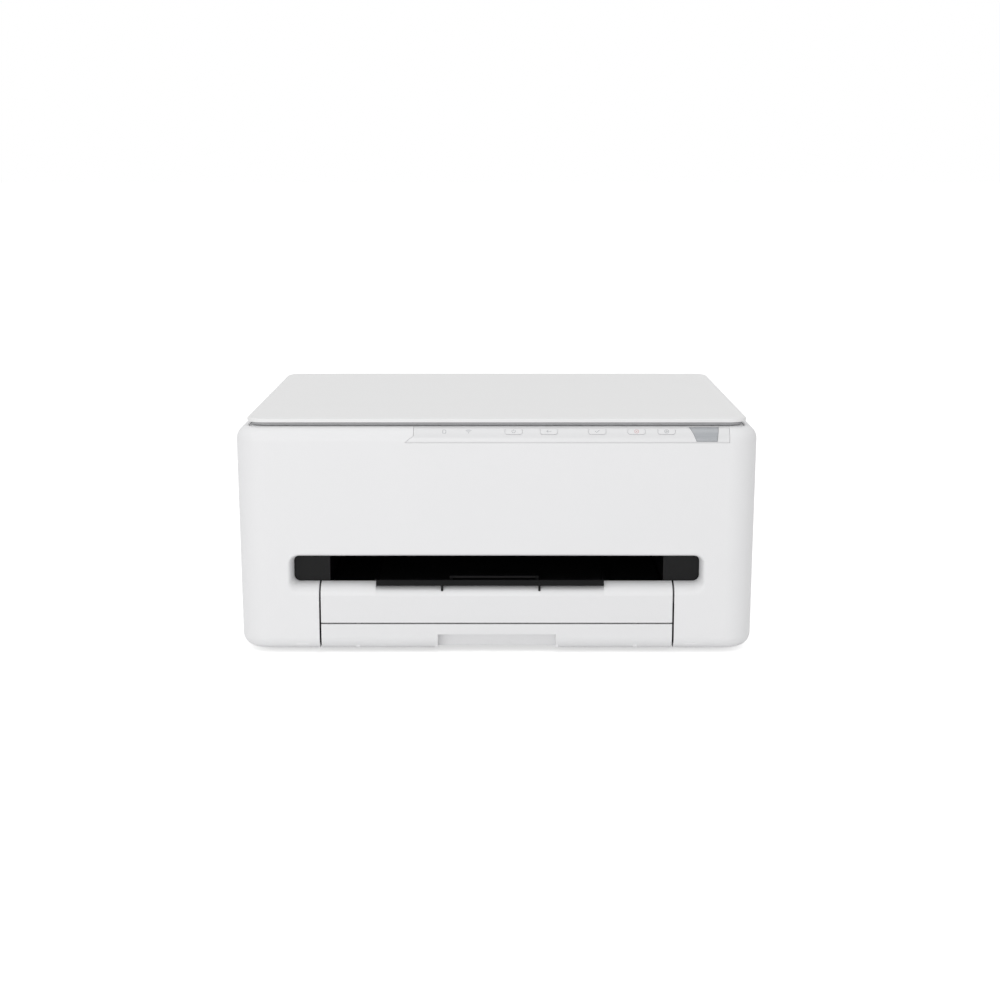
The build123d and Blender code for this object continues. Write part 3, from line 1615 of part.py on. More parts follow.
if __name__ == "__main__":
    os.makedirs("parts", exist_ok=True)
    write("front_fascia", front_fascia())
    write("left_side_cover", side_cover(-1))
    write("right_side_cover", side_cover(1))
    write("rear_panel", rear_panel())
    write("bottom_case", bottom_case())
    write("rubber_feet", rubber_feet())
    write("slot_liner", slot_liner())
    write("control_panel", control_panel())
    write("display_window", display_window())
    write("panel_carrier", panel_carrier())
    for name, place in zip(key_names, key_places):
        write(name, panel_key(place))
    write("lid_cover", lid_cover())
    write("lid_pad", lid_pad())
    write("scanner_case", scanner_case())
    write("scanner_top_frame", scanner_top_frame())
    write("platen_glass", platen_glass())
    write("scan_head", scan_head())
    write("stay_arm", stay_arm())
    write("engine_frame", engine_frame())
    write("platen", platen())
    write("feed_roller", feed_roller())
    write("eject_roller", eject_roller())
    write("turn_roller", turn_roller())
    write("pinch_rollers", pinch_rollers())
    write("star_wheels", star_wheels())
    write("idler_gear", loose_gear(idler_teeth, idler_phase, idler_at))
    write("turn_idler_gear", loose_gear(turn_idler_teeth, turn_idler_phase, turn_idler_at))
    write("motor_pinion", motor_pinion())
    write("pickup_arm", pickup_arm())
    write("pickup_roller", pickup_roller())
    write("carriage_rail", carriage_rail())
    write("drive_belt", drive_belt())
    write("drive_pulley", pulley(-pulley_x, rail_y - belt_y + 10))
    write("idler_pulley", pulley(pulley_x, rail_y - belt_y + rail_thick + 1))
    write("carriage", carriage())
    write("purge_unit", purge_unit())
    write("ink_absorber", ink_absorber())
    write("power_supply", power_supply())
    write("power_inlet", power_inlet())
    write("main_board", main_board())
    write("usb_port", usb_port())
    write("rear_door", rear_door())
    write("cassette_tray", cassette_tray())
    write("cassette_panel", cassette_panel())
    write("left_side_guide", side_guide(-1))
    write("right_side_guide", side_guide(1))
    write("guide_pinion", guide_pinion())
    write("end_guide", end_guide())
    write("output_panel", output_panel())
    write("output_tray", output_tray())
    write("tray_extension", tray_extension())
    write("paper_stop", paper_stop())
    write_group("roller_holders", pinch_holder(), star_holder())
    write_group("drive_motors", feed_motor(), carriage_motor())
    write_group("cartridges", cartridge(-1), cartridge(1))
    write("cartridge_cover", cartridge_cover())
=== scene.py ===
# %% [markdown]
# # A desktop multifunction printer, dressed for its portrait
# The shapes of this printer are already made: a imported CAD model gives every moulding, roller and gear at its
# real size. What is left for Blender is what the eye reads as material: grain on moulded plastic, gloss on a
# window, grinding marks on rubber, print on keys, and the light that shows them. Blender counts in metres,
# and MM turns the millimetres that printers are drawn in into them.

import math

import bpy
import numpy as np
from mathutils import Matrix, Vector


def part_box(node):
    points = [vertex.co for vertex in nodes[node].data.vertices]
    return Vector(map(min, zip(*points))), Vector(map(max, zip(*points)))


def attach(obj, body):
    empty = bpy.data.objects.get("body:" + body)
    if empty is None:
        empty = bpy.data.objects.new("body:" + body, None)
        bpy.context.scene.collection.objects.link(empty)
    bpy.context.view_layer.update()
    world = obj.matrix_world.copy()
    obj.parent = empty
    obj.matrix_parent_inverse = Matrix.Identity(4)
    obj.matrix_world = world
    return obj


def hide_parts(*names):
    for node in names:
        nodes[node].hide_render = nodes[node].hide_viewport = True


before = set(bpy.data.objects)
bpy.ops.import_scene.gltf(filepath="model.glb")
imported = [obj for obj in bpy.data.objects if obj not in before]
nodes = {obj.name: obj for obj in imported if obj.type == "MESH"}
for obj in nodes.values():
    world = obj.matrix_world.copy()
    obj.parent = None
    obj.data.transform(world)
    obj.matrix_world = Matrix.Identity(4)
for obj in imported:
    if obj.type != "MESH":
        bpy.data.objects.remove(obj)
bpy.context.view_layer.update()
MM = 0.001

# %% [markdown]
# ## The camera
# A product picture is taken from a little above the front, far enough away that the front stays nearly square
# on. The lens and the place were worked out from the corners of the front face and of the lid, so that the
# same edges fall in the same places as in the photograph. A camera looks along its own -Z, so a turn of 90
# degrees about X would look level along +Y; a little less looks down.

# %% Place the camera
camera_data = bpy.data.cameras.new("portrait_camera")
camera_data.lens = 64.15
camera_data.sensor_width = 36.0
camera = bpy.data.objects.new("portrait_camera", camera_data)
camera.location = (2.6 * MM, -1.502, 0.378)
camera.rotation_euler = (math.radians(79.24), 0, 0)
bpy.context.scene.collection.objects.link(camera)
bpy.context.scene.camera = camera
bpy.context.scene.view_settings.view_transform = "Standard"
print("camera at", tuple(round(v, 3) for v in camera.location))

# %% [markdown]
# ## Small tools
# Two helpers carry the whole script: one turns the colours that people write, such as #e8e8e8, into the
# linear numbers that light is added up in, and one adds a shader node together with its settings and its
# links.


# %% Colour and node helpers
def linear(colour):
    """sRGB hex to linear RGBA: a channel c becomes ((c + 0.055) / 1.055) ** 2.4, or c / 12.92 when it is very
    dark."""
    c = np.array([int(colour[i : i + 2], 16) for i in (1, 3, 5)]) / 255
    c = np.where(c <= 0.04045, c / 12.92, ((c + 0.055) / 1.055) ** 2.4)
    return (*c, 1.0)


def add_node(tree, kind, inputs=(), **settings):
    """A new shader node. Each input takes a number or colour, or another node's output, which is then
    linked."""
    made = tree.nodes.new("ShaderNode" + kind)
    for name, value in settings.items():
        setattr(made, name, value)
    for name, value in dict(inputs).items():
        if isinstance(value, bpy.types.NodeSocket):
            tree.links.new(value, made.inputs[name])
        else:
            made.inputs[name].default_value = value
    return made


print("#808080 is", round(float(linear("#808080")[0]), 3), "in linear light")

# %% [markdown]
# ## The light
# White plastic on a white ground is the hardest thing to light, because a little too much turns it into a
# blank. Here an even pale surround does most of the work, and broad soft lamps lean a little more light on
# the front than on the top, as the photograph shows. The surround looks pure white to the camera and in
# reflections, and is weaker as a light, so that the background can be white while the plastic keeps its tone.


# %% Surround and lamps
def seen_directly(tree):
    """1 for camera, glossy and transmission rays, 0 for the rays that carry light to matt surfaces."""
    path = add_node(tree, "LightPath").outputs
    some = add_node(tree, "Math", {0: path["Is Camera Ray"], 1: path["Is Glossy Ray"]}, operation="MAXIMUM")
    every = add_node(tree, "Math", {0: some.outputs[0], 1: path["Is Transmission Ray"]}, operation="MAXIMUM")
    return every.outputs[0]


world = bpy.data.worlds.new("pale_surround")
bpy.context.scene.world = world
world.use_nodes = True
sky = world.node_tree
background = sky.nodes["Background"]
background.inputs["Color"].default_value = (1, 1, 1, 1)
level = add_node(sky, "MapRange", {0: seen_directly(sky), 3: 0.65, 4: 1.0})
sky.links.new(level.outputs[0], background.inputs["Strength"])


def softbox(name, place, aim, width, height, watts):
    """A rectangular area lamp at a place, turned so that its -Z points at the aim."""
    data = bpy.data.lights.new(name, "AREA")
    data.shape = "RECTANGLE"
    data.size, data.size_y = width, height
    data.energy = watts
    lamp = bpy.data.objects.new(name, data)
    lamp.location = place
    away = np.subtract(place, aim)
    across = math.hypot(away[0], away[1])
    lamp.rotation_euler = (math.atan2(across, away[2]), 0, math.atan2(away[0], -away[1]))
    bpy.context.scene.collection.objects.link(lamp)
    return lamp


softbox("front_softbox", (-0.7, -2.7, 0.5), (0, 0, 0.1), 2.4, 0.9, 20.8)
softbox("top_softbox", (-0.3, -0.2, 2.4), (0, 0, 0.1), 2.0, 2.0, 9)

# %% [markdown]
# ## The floor
# The floor is a plain white sheet. Part of its white is its own, so that it melts into the background, and
# the rest comes from the lamps, so that the printer still leaves its soft dark line where it stands.


# %% Lay the floor
def floor_sheet(reach):
    """Four corners at plus and minus the reach, a hair under the feet."""
    corners = np.array([(-1, -1), (1, -1), (1, 1), (-1, 1)]) * reach
    mesh = bpy.data.meshes.new("floor")
    mesh.from_pydata([(x, y, -0.0003) for x, y in corners], [], [(0, 1, 2, 3)])
    return bpy.data.objects.new("floor", mesh)


floor = floor_sheet(30.0)
bpy.context.scene.collection.objects.link(floor)
paper_white = bpy.data.materials.new("studio_floor_paper")
paper_white.use_nodes = True
tree = paper_white.node_tree
tree.nodes.clear()
matt = add_node(tree, "BsdfDiffuse", {"Color": (0.8, 0.8, 0.8, 1)})
glow = add_node(tree, "Emission", {"Color": (1, 1, 1, 1), "Strength": 0.6})
lifted = add_node(tree, "AddShader", {0: matt.outputs[0], 1: glow.outputs[0]})
shown = add_node(tree, "MixShader", {0: seen_directly(tree), 1: matt.outputs[0], 2: lifted.outputs[0]})
add_node(tree, "OutputMaterial", {"Surface": shown.outputs[0]})
floor.data.materials.append(paper_white)
print("floor reaches", floor.dimensions.x / 2, "m each way")

# %% [markdown]
# ## Finishes
# Nearly every part of a printer is injection moulded. The steel mould is spark-eroded, which leaves a fine
# even pitting, and the plastic takes a print of it: that is why a casing looks soft and hides finger marks.
# The pits are about 0.1 mm across, too fine to show in a portrait, so they are drawn a little coarser here. A
# second, much larger and fainter noise stands for the slight flow marks and uneven gloss that all big
# mouldings have.


# %% Moulded plastic
def new_material(name):
    """A material, its node tree, its Principled shader and the place of each point in metres."""
    material = bpy.data.materials.new(name)
    material.use_nodes = True
    tree = material.node_tree
    return material, tree, tree.nodes["Principled BSDF"], add_node(tree, "TexCoord").outputs["Object"]


def tone_between(tree, fac, colour, change):
    """A colour that goes from a little darker to a little lighter than the given one as fac goes from 0 to
    1."""
    base = np.array(linear(colour)[:3])
    dark, light = (*(base * (1 - change)), 1), (*np.minimum(base * (1 + change), 1), 1)
    return add_node(tree, "Mix", {0: fac, 6: dark, 7: light}, data_type="RGBA").outputs[2]


def moulded_plastic(name, colour, roughness, grain=0.5, depth=0.02, flow=60.0, change=0.012, gloss=0.5):
    """Moulded plastic: a fine noise, one cell per grain in mm, lifts the surface by depth in mm, and a slow
    noise, one cell per flow in mm, moves the tone and the roughness a little. gloss is the specular level,
    0.5 when bare."""
    material, tree, surface, place = new_material(name)
    slow = add_node(tree, "TexNoise", {"Vector": place, "Scale": 1000 / flow, "Detail": 3.0})
    fine = add_node(tree, "TexNoise", {"Vector": place, "Scale": 1000 / grain, "Detail": 2.0})
    tree.links.new(tone_between(tree, slow.outputs[0], colour, change), surface.inputs["Base Color"])
    rough = add_node(tree, "MapRange", {0: slow.outputs[0], 3: roughness - 0.04, 4: roughness + 0.04})
    tree.links.new(rough.outputs[0], surface.inputs["Roughness"])
    bump = add_node(tree, "Bump", {"Height": fine.outputs[0], "Distance": depth * MM, "Strength": 1.0})
    tree.links.new(bump.outputs[0], surface.inputs["Normal"])
    surface.inputs["IOR"].default_value = 1.54
    surface.inputs["Specular IOR Level"].default_value = gloss
    return material


# ABS from a spark-eroded mould: the soft, neutral white of the outer casing
casing_white = moulded_plastic("abs_white_spark_eroded_casing", "#eeeeef", 0.52)
# the same ABS from another mould, a shade deeper, as panels that come off a second tool usually are
cassette_white = moulded_plastic("abs_white_spark_eroded_cassette", "#ebebec", 0.50)
# the lid's top is polished a little finer than the casing
lid_white = moulded_plastic("abs_white_fine_grain_lid", "#eeeeee", 0.46, grain=0.4, depth=0.012)
# the control strip comes from a polished mould: smooth, with broader highlights
strip_white = moulded_plastic("abs_white_polished_strip", "#e6e6e7", 0.30, depth=0.004)
key_white = moulded_plastic("abs_white_satin_keys", "#e7e7e8", 0.38, depth=0.006)
# black ABS in the paper slot, near gloss, so that it shows the pale surround along its edges
slot_black = moulded_plastic("abs_black_polished_slot", "#0b0b0c", 0.4, depth=0.006, change=0.08, gloss=0.14)
tray_black = moulded_plastic("abs_black_satin_tray", "#0e0e0f", 0.5, depth=0.012, change=0.08, gloss=0.1)
works_black = moulded_plastic("pc_abs_black_matt_chassis", "#17181a", 0.62, depth=0.02, change=0.08)
tray_grey = moulded_plastic("abs_dark_grey_cassette_tray", "#3a3b3e", 0.55, depth=0.02, change=0.05)
base_grey = moulded_plastic("abs_mid_grey_base_moulding", "#77787a", 0.6, depth=0.02, change=0.04)
scanner_grey = moulded_plastic("abs_grey_scanner_body", "#5b5c5f", 0.55, depth=0.02, change=0.04)
supply_black = moulded_plastic("pbt_black_supply_case", "#1c1c1e", 0.58, depth=0.02, change=0.06)
print("plastics:", len([m for m in bpy.data.materials if m.name.startswith(("abs", "pc_", "pbt"))]))

# %% [markdown]
# ### Metals, rubbers and the rest
# The carriage runs on a pressed rail of zinc-plated sheet, whose rolling marks run along its length. The feed
# shaft is ground and coated with a dark grit that grips the paper. The other rollers carry ground rubber,
# which is dead matt with faint rings. Gears are moulded in acetal, a waxy, faintly see-through plastic.


# %% Zinc-plated sheet and ground shafts
def streaked_metal(name, colour, roughness, streak, along, depth=0.004):
    """Metal whose grain is a noise stretched along one axis: cells of streak mm across, and 60 times as
    long."""
    material, tree, surface, place = new_material(name)
    stretch = np.full(3, 1000 / streak)
    stretch["XYZ".index(along)] /= 60
    grain_place = add_node(tree, "Mapping", {"Vector": place, "Scale": tuple(stretch)})
    grain = add_node(tree, "TexNoise", {"Vector": grain_place.outputs[0], "Scale": 1.0, "Detail": 4.0})
    tree.links.new(tone_between(tree, grain.outputs[0], colour, 0.10), surface.inputs["Base Color"])
    rough = add_node(tree, "MapRange", {0: grain.outputs[0], 3: roughness - 0.07, 4: roughness + 0.07})
    tree.links.new(rough.outputs[0], surface.inputs["Roughness"])
    bump = add_node(tree, "Bump", {"Height": grain.outputs[0], "Distance": depth * MM, "Strength": 1.0})
    tree.links.new(bump.outputs[0], surface.inputs["Normal"])
    surface.inputs["Metallic"].default_value = 1.0
    return material


rail_zinc = streaked_metal("steel_zinc_plated_rolled_rail", "#b9bcbf", 0.32, 0.6, "X")
arm_zinc = streaked_metal("steel_zinc_plated_stay_arm", "#b4b7ba", 0.36, 0.6, "Z")
motor_zinc = streaked_metal("steel_drawn_motor_can", "#8f9296", 0.38, 0.8, "X")
grit_shaft = streaked_metal("steel_ground_grit_coated_shaft", "#55585c", 0.62, 0.5, "Y", depth=0.02)
port_steel = streaked_metal("steel_nickel_plated_shell", "#c3c5c6", 0.24, 0.5, "Y")
star_steel = streaked_metal("steel_stainless_star_wheels", "#aeb1b4", 0.3, 0.4, "Z")


# %% Rubber, acetal, felt and the pad
def ground_rubber(name, colour, roughness, ring, depth=0.03):
    """Rubber ground on a wheel: bands one ring mm apart across X, broken up by a fine noise."""
    material, tree, surface, place = new_material(name)
    rings = add_node(
        tree, "TexWave", {"Vector": place, "Scale": 1000 / ring / 6.283, "Distortion": 1.5, "Detail": 2.0}
    )
    dust = add_node(tree, "TexNoise", {"Vector": place, "Scale": 1000 / 1.2, "Detail": 4.0})
    both = add_node(tree, "Math", {0: rings.outputs[1], 1: dust.outputs[0]}, operation="MULTIPLY")
    tree.links.new(tone_between(tree, dust.outputs[0], colour, 0.15), surface.inputs["Base Color"])
    bump = add_node(tree, "Bump", {"Height": both.outputs[0], "Distance": depth * MM, "Strength": 1.0})
    tree.links.new(bump.outputs[0], surface.inputs["Normal"])
    surface.inputs["Roughness"].default_value = roughness
    return material


roller_rubber = ground_rubber("epdm_ground_roller_rubber", "#232326", 0.82, 0.8)
foot_rubber = ground_rubber("tpe_moulded_foot", "#2b2b2d", 0.75, 1.0)
belt_rubber = ground_rubber("neoprene_moulded_belt", "#18181a", 0.8, 1.0)


def waxy_plastic(name, colour):
    """Acetal: a little light goes in and comes out again, which softens the edges of the teeth."""
    material, tree, surface, place = new_material(name)
    cloud = add_node(tree, "TexNoise", {"Vector": place, "Scale": 1000 / 3.0, "Detail": 3.0})
    tree.links.new(tone_between(tree, cloud.outputs[0], colour, 0.04), surface.inputs["Base Color"])
    surface.inputs["Roughness"].default_value = 0.4
    surface.inputs["Subsurface Weight"].default_value = 0.15
    surface.inputs["Subsurface Radius"].default_value = (0.002, 0.0018, 0.0015)
    return material


gear_acetal = waxy_plastic("pom_natural_moulded_gear", "#dcdad2")


def fibres(name, colour, thread, depth, change, sheen):
    """Felt or film: a noise of thread mm cells in two sizes lifts the surface, and a sheen pales it at the
    rim."""
    material, tree, surface, place = new_material(name)
    coarse = add_node(tree, "TexNoise", {"Vector": place, "Scale": 1000 / (thread * 4), "Detail": 5.0})
    fine = add_node(
        tree, "TexNoise", {"Vector": place, "Scale": 1000 / thread, "Detail": 6.0, "Roughness": 0.7}
    )
    tree.links.new(tone_between(tree, coarse.outputs[0], colour, change), surface.inputs["Base Color"])
    bump = add_node(tree, "Bump", {"Height": fine.outputs[0], "Distance": depth * MM, "Strength": 1.0})
    tree.links.new(bump.outputs[0], surface.inputs["Normal"])
    surface.inputs["Roughness"].default_value = 0.85
    surface.inputs["Sheen Weight"].default_value = sheen
    return material


absorber_felt = fibres("felt_pressed_ink_absorber", "#d3d1ca", 0.6, 0.25, 0.06, 0.3)
pad_film = fibres("pet_film_white_on_foam", "#eeeeed", 1.2, 0.03, 0.012, 0.0)
print("finishes so far:", len(bpy.data.materials))


# %% Glass, display and circuit board
def float_glass(name):
    """Float glass: clear, with the faint green that iron gives it, set by the transmission colour alone."""
    material, tree, surface, place = new_material(name)
    smear = add_node(tree, "TexNoise", {"Vector": place, "Scale": 1000 / 40.0, "Detail": 4.0})
    rough = add_node(tree, "MapRange", {0: smear.outputs[0], 1: 0.4, 2: 0.8, 3: 0.02, 4: 0.06})
    tree.links.new(rough.outputs[0], surface.inputs["Roughness"])
    surface.inputs["Base Color"].default_value = linear("#e4f0ea")
    surface.inputs["Transmission Weight"].default_value = 1.0
    surface.inputs["IOR"].default_value = 1.52
    return material


platen_glass = float_glass("glass_float_scanner_bed")


def display_panel(name):
    """A segment display that is off: grey, with a dot grid of 0.5 mm cells just darker than the gaps between
    them."""
    material, tree, surface, place = new_material(name)
    tones = {"Color1": linear("#a4a7ab"), "Color2": linear("#a8abaf"), "Mortar": linear("#b2b5b9")}
    sizes = {"Scale": 1000.0, "Mortar Size": 0.06, "Brick Width": 0.6, "Row Height": 0.6}
    grid = add_node(tree, "TexBrick", {"Vector": place, **tones, **sizes}, offset=0.0)
    tree.links.new(grid.outputs["Color"], surface.inputs["Base Color"])
    surface.inputs["Roughness"].default_value = 0.12
    surface.inputs["Coat Weight"].default_value = 0.5
    return material


display_grey = display_panel("pmma_window_over_grey_display")


def solder_mask(name):
    """Green lacquer over copper: tracks show as slightly paler, raised bands of a stepped brick pattern."""
    material, tree, surface, place = new_material(name)
    tones = {"Color1": linear("#1c5a35"), "Color2": linear("#1f6239"), "Mortar": linear("#174c2c")}
    sizes = {"Scale": 1000 / 4.0, "Mortar Size": 0.05, "Brick Width": 2.2, "Row Height": 0.35}
    tracks = add_node(tree, "TexBrick", {"Vector": place, **tones, **sizes}, offset=0.37)
    tree.links.new(tracks.outputs["Color"], surface.inputs["Base Color"])
    bump = add_node(tree, "Bump", {"Height": tracks.outputs["Fac"], "Distance": 0.03 * MM}, invert=True)
    tree.links.new(bump.outputs[0], surface.inputs["Normal"])
    surface.inputs["Roughness"].default_value = 0.3
    return material


board_green = solder_mask("fr4_green_solder_mask")
print("finishes:", len(bpy.data.materials))

# %% [markdown]
# ## Who wears what
# Each CAD piece takes the finish of the real one. The table below reads like a parts list: a finish, then the
# pieces that wear it.

# %% Dress the CAD pieces
wardrobe = {
    casing_white: "front_fascia left_side_cover right_side_cover rear_panel scanner_top_frame rear_door",
    cassette_white: "output_panel cassette_panel",
    lid_white: "lid_cover",
    strip_white: "control_panel panel_carrier",
    key_white: "key_power key_back key_ok key_stop key_start",
    display_grey: "display_window",
    slot_black: "slot_liner paper_stop",
    tray_black: "output_tray tray_extension platen roller_holders",
    works_black: "engine_frame carriage cartridges pickup_arm scan_head",
    tray_grey: (
        "cassette_tray left_side_guide right_side_guide end_guide purge_unit cartridge_cover "
        "pinch_rollers"
    ),
    base_grey: "bottom_case",
    scanner_grey: "scanner_case",
    supply_black: "power_supply power_inlet",
    rail_zinc: "carriage_rail",
    arm_zinc: "stay_arm",
    motor_zinc: "drive_motors",
    grit_shaft: "feed_roller",
    port_steel: "usb_port",
    star_steel: "star_wheels",
    roller_rubber: "eject_roller turn_roller pickup_roller",
    foot_rubber: "rubber_feet",
    belt_rubber: "drive_belt",
    gear_acetal: "idler_gear turn_idler_gear motor_pinion guide_pinion drive_pulley idler_pulley",
    platen_glass: "platen_glass",
    board_green: "main_board",
}
for finish, wearers in wardrobe.items():
    for name in wearers.split():
        mesh = nodes[name].data
        mesh.materials.clear()
        mesh.materials.append(finish)
dressed = sum(len(wearers.split()) for wearers in wardrobe.values())
print(
    dressed,
    "CAD pieces dressed; still plain:",
    sorted(set(nodes) - set(" ".join(wardrobe.values()).split())),
)

# %% [markdown]
# ## New pieces as surfaces
# Everything made below is a sheet of points: a function of two parameters, worked out for all points at once
# with numpy, whose neighbours are joined by four-sided faces. One helper joins the points and one makes the
# object, which stays at the origin with its place in its mesh.


# %% Grid and piece helpers
def grid_faces(rows, columns, wrap=False):
    """Quads that join point (i, j) of a grid to its neighbours. With wrap, the last column joins the
    first."""
    i, j = np.meshgrid(np.arange(rows - 1), np.arange(columns if wrap else columns - 1), indexing="ij")
    k = (j + 1) % columns
    return np.stack(
        [i * columns + j, i * columns + k, (i + 1) * columns + k, (i + 1) * columns + j], -1
    ).reshape(-1, 4)


def new_piece(name, points, faces, material, body, smooth=True):
    """A mesh piece in metres that wears a material and rides on a body."""
    mesh = bpy.data.meshes.new(name)
    places = np.asarray(points, float).reshape(-1, 3)
    mesh.from_pydata(places.tolist(), [], [tuple(int(k) for k in face) for face in faces])
    mesh.polygons.foreach_set("use_smooth", np.full(len(mesh.polygons), smooth))
    mesh.materials.append(material)
    piece = bpy.data.objects.new(name, mesh)
    bpy.context.scene.collection.objects.link(piece)
    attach(piece, body)
    return piece


def node_box(node):
    """The lowest and the highest corner of a CAD piece, as two arrays in metres."""
    return tuple(np.array(corner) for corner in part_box(node))


def measured(piece):
    """The length, depth and height of a piece in mm, to print."""
    return tuple(round(v * 1000, 1) for v in piece.dimensions)


print("a 3 by 4 grid has", len(grid_faces(3, 4)), "faces")

# %% [markdown]
# ## The pad under the lid
# A sheet of white film over a foam layer presses the paper flat on the glass. It is flat where it meets the
# glass, bulges a touch at its edges, and its rim curls in where the film is glued round the foam. It is made
# as a stack of rounded rectangles, each drawn in by the curve of its edge, so it closes over the top and
# underneath.


# %% Make the pad
def rounded_outline(half_x, half_y, radius, steps=12):
    """Points round a rectangle with round corners, from four quarter turns of the radius, anticlockwise."""
    turn = np.linspace(0, math.pi / 2, steps)
    arc = np.stack([np.cos(turn), np.sin(turn)], -1) * radius
    parts = []
    for quarter, (sx, sy) in enumerate([(1, 1), (-1, 1), (-1, -1), (1, -1)]):
        c, s = math.cos(quarter * math.pi / 2), math.sin(quarter * math.pi / 2)
        centre = np.array([sx * (half_x - radius), sy * (half_y - radius)])
        parts.append(arc @ np.array([[c, s], [-s, c]]) + centre)
    return np.concatenate(parts)


def cushion_points(low, high, radius, edge, inner_rings=14):
    """Rings from the middle of the underside, out round a bulging edge, to the middle of the top. The edge is
    half an ellipse as deep as the pad is thick. Rings inside it shrink evenly to the centre, and the faces
    there stay flat but for a crown of 0.15 mm."""
    centre, half = (low + high) / 2, (high - low) / 2
    lean = np.linspace(-math.pi / 2, math.pi / 2, 13)
    inset = edge * (1 - np.cos(lean))
    height = half[2] * np.sin(lean)
    shrink = np.linspace(0.02, 1.0, inner_rings, endpoint=False)
    rings = []
    for share in shrink:
        outline = rounded_outline(half[0] - edge, half[1] - edge, radius - edge) * share
        rings.append(np.column_stack([outline, np.full(len(outline), -half[2] + 0.00015 * share**4)]))
    for draw_in, z in zip(inset, height):
        outline = rounded_outline(half[0] - draw_in, half[1] - draw_in, radius - draw_in)
        rings.append(np.column_stack([outline, np.full(len(outline), z)]))
    for share in shrink[::-1]:
        outline = rounded_outline(half[0] - edge, half[1] - edge, radius - edge) * share
        rings.append(np.column_stack([outline, np.full(len(outline), half[2])]))
    return np.array(rings) + centre


def closed_faces(rings):
    """Faces between rings of points, with one many-sided face over the first ring and one over the last."""
    rows, columns = np.shape(rings)[:2]
    first, last = list(range(columns))[::-1], list(range((rows - 1) * columns, rows * columns))
    return [list(face) for face in grid_faces(rows, columns, wrap=True)] + [first, last]


low, high = node_box("lid_pad")
rings = cushion_points(low, high, 0.004, 0.0012)
pad = new_piece("lid_pad_film_and_foam", rings, closed_faces(rings), pad_film, "lid")
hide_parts("lid_pad")
print("pad", measured(pad), "mm")

# %% [markdown]
# ## The felt that takes waste ink
# Behind a blind corner of the base lies a block of pressed felt. Felt has no crisp edges: its corners are
# soft and its top is uneven. The same stack of rings makes it, with a deeper edge, and a slow ripple lifts
# its top.


# %% Make the absorber
low, high = node_box("ink_absorber")
rings = cushion_points(low, high, 0.006, 0.0022)
top = rings[..., 2] > (low[2] + high[2]) / 2
ripple = 0.0004 * (np.sin(rings[..., 0] * 500) * np.cos(rings[..., 1] * 310) - 1)
rings[..., 2] += np.where(top, ripple, 0)
felt = new_piece("ink_absorber_felt", rings, closed_faces(rings), absorber_felt, "base")
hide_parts("ink_absorber")
print("felt", measured(felt), "mm")

# %% [markdown]
# ## Symbols on the keys
# The marks on such a strip are pad printed: a silicone pad picks the ink up from an etched plate and rolls it
# over the curve, which leaves lines a third of a millimetre wide with no thickness to speak of. They are pale
# on purpose, so from a step away they nearly vanish. Each symbol is drawn flat, as lines of an even width,
# and then wrapped round the shoulder of the casing, which is a quarter circle.

# %% Wrap flat drawings round the shoulder
shoulder = 10.5 * MM
ink_lift = 0.02 * MM
proud_key = 0.25 * MM
key_half_length, key_half_height, key_corner = 6.5, 2.5, 1.6
casing_low, casing_high = node_box("front_fascia")
shoulder_y, shoulder_z = casing_low[1] + shoulder, casing_high[2] - shoulder


def on_shoulder(along, up, lift):
    """X stays as it is. A height up from the middle of the curve, measured along it, becomes an angle of 45
    degrees plus up / radius on a circle of the radius plus the lift."""
    angle = math.pi / 4 + up / shoulder
    reach = shoulder + lift
    return np.stack([along, shoulder_y - reach * np.cos(angle), shoulder_z + reach * np.sin(angle)], -1)


def line_strip(path, width):
    """A flat strip along a path in mm: each point goes half the width to both sides, square to the path."""
    path = np.asarray(path, float)
    run = np.gradient(path, axis=0)
    side = np.stack([-run[:, 1], run[:, 0]], -1) / np.linalg.norm(run, axis=1)[:, None]
    return path[:, None] + side[:, None] * np.array([0.5, -0.5])[None, :, None] * width


def ring(radius, start=0.0, stop=360.0):
    """Points on a circle between two angles in degrees."""
    turn = np.radians(np.linspace(start, stop, 40))
    return np.stack([np.cos(turn), np.sin(turn)], -1) * radius


def joined(sheets):
    """Several grids of points as one list of points and one list of faces."""
    points, faces, count = [], [], 0
    for sheet in sheets:
        rows, columns = sheet.shape[:2]
        points.append(sheet.reshape(-1, 3))
        faces.append(grid_faces(rows, columns) + count)
        count += rows * columns
    return np.concatenate(points), np.concatenate(faces)


def between(*corners, steps=5):
    """Points along straight runs from corner to corner, close enough together to follow the curve."""
    corners = np.array(corners, float)
    share = np.linspace(0, 1, steps)[:, None]
    return [a + (b - a) * share for a, b in zip(corners[:-1], corners[1:])]


def printed_mark(name, centre, lines, lift, ink, body, width=0.32):
    """A symbol at a place along the strip, from lines in mm round its own centre."""
    strips = [line_strip(line, width) for line in lines]
    sheets = [on_shoulder((s[..., 0] + centre) * MM, s[..., 1] * MM, lift) for s in strips]
    mark = new_piece(name, *joined(sheets), ink, body)
    return mark


print("shoulder circle centred at y", round(float(shoulder_y), 4), "z", round(float(shoulder_z), 4))

# %% [markdown]
# The five keys get the signs that any such machine has: on and off, back, agree, cancel and start. Two plain
# pictures, a sheet of paper and a radio wave, stand at the left end of the strip, where small lamps shine
# through.

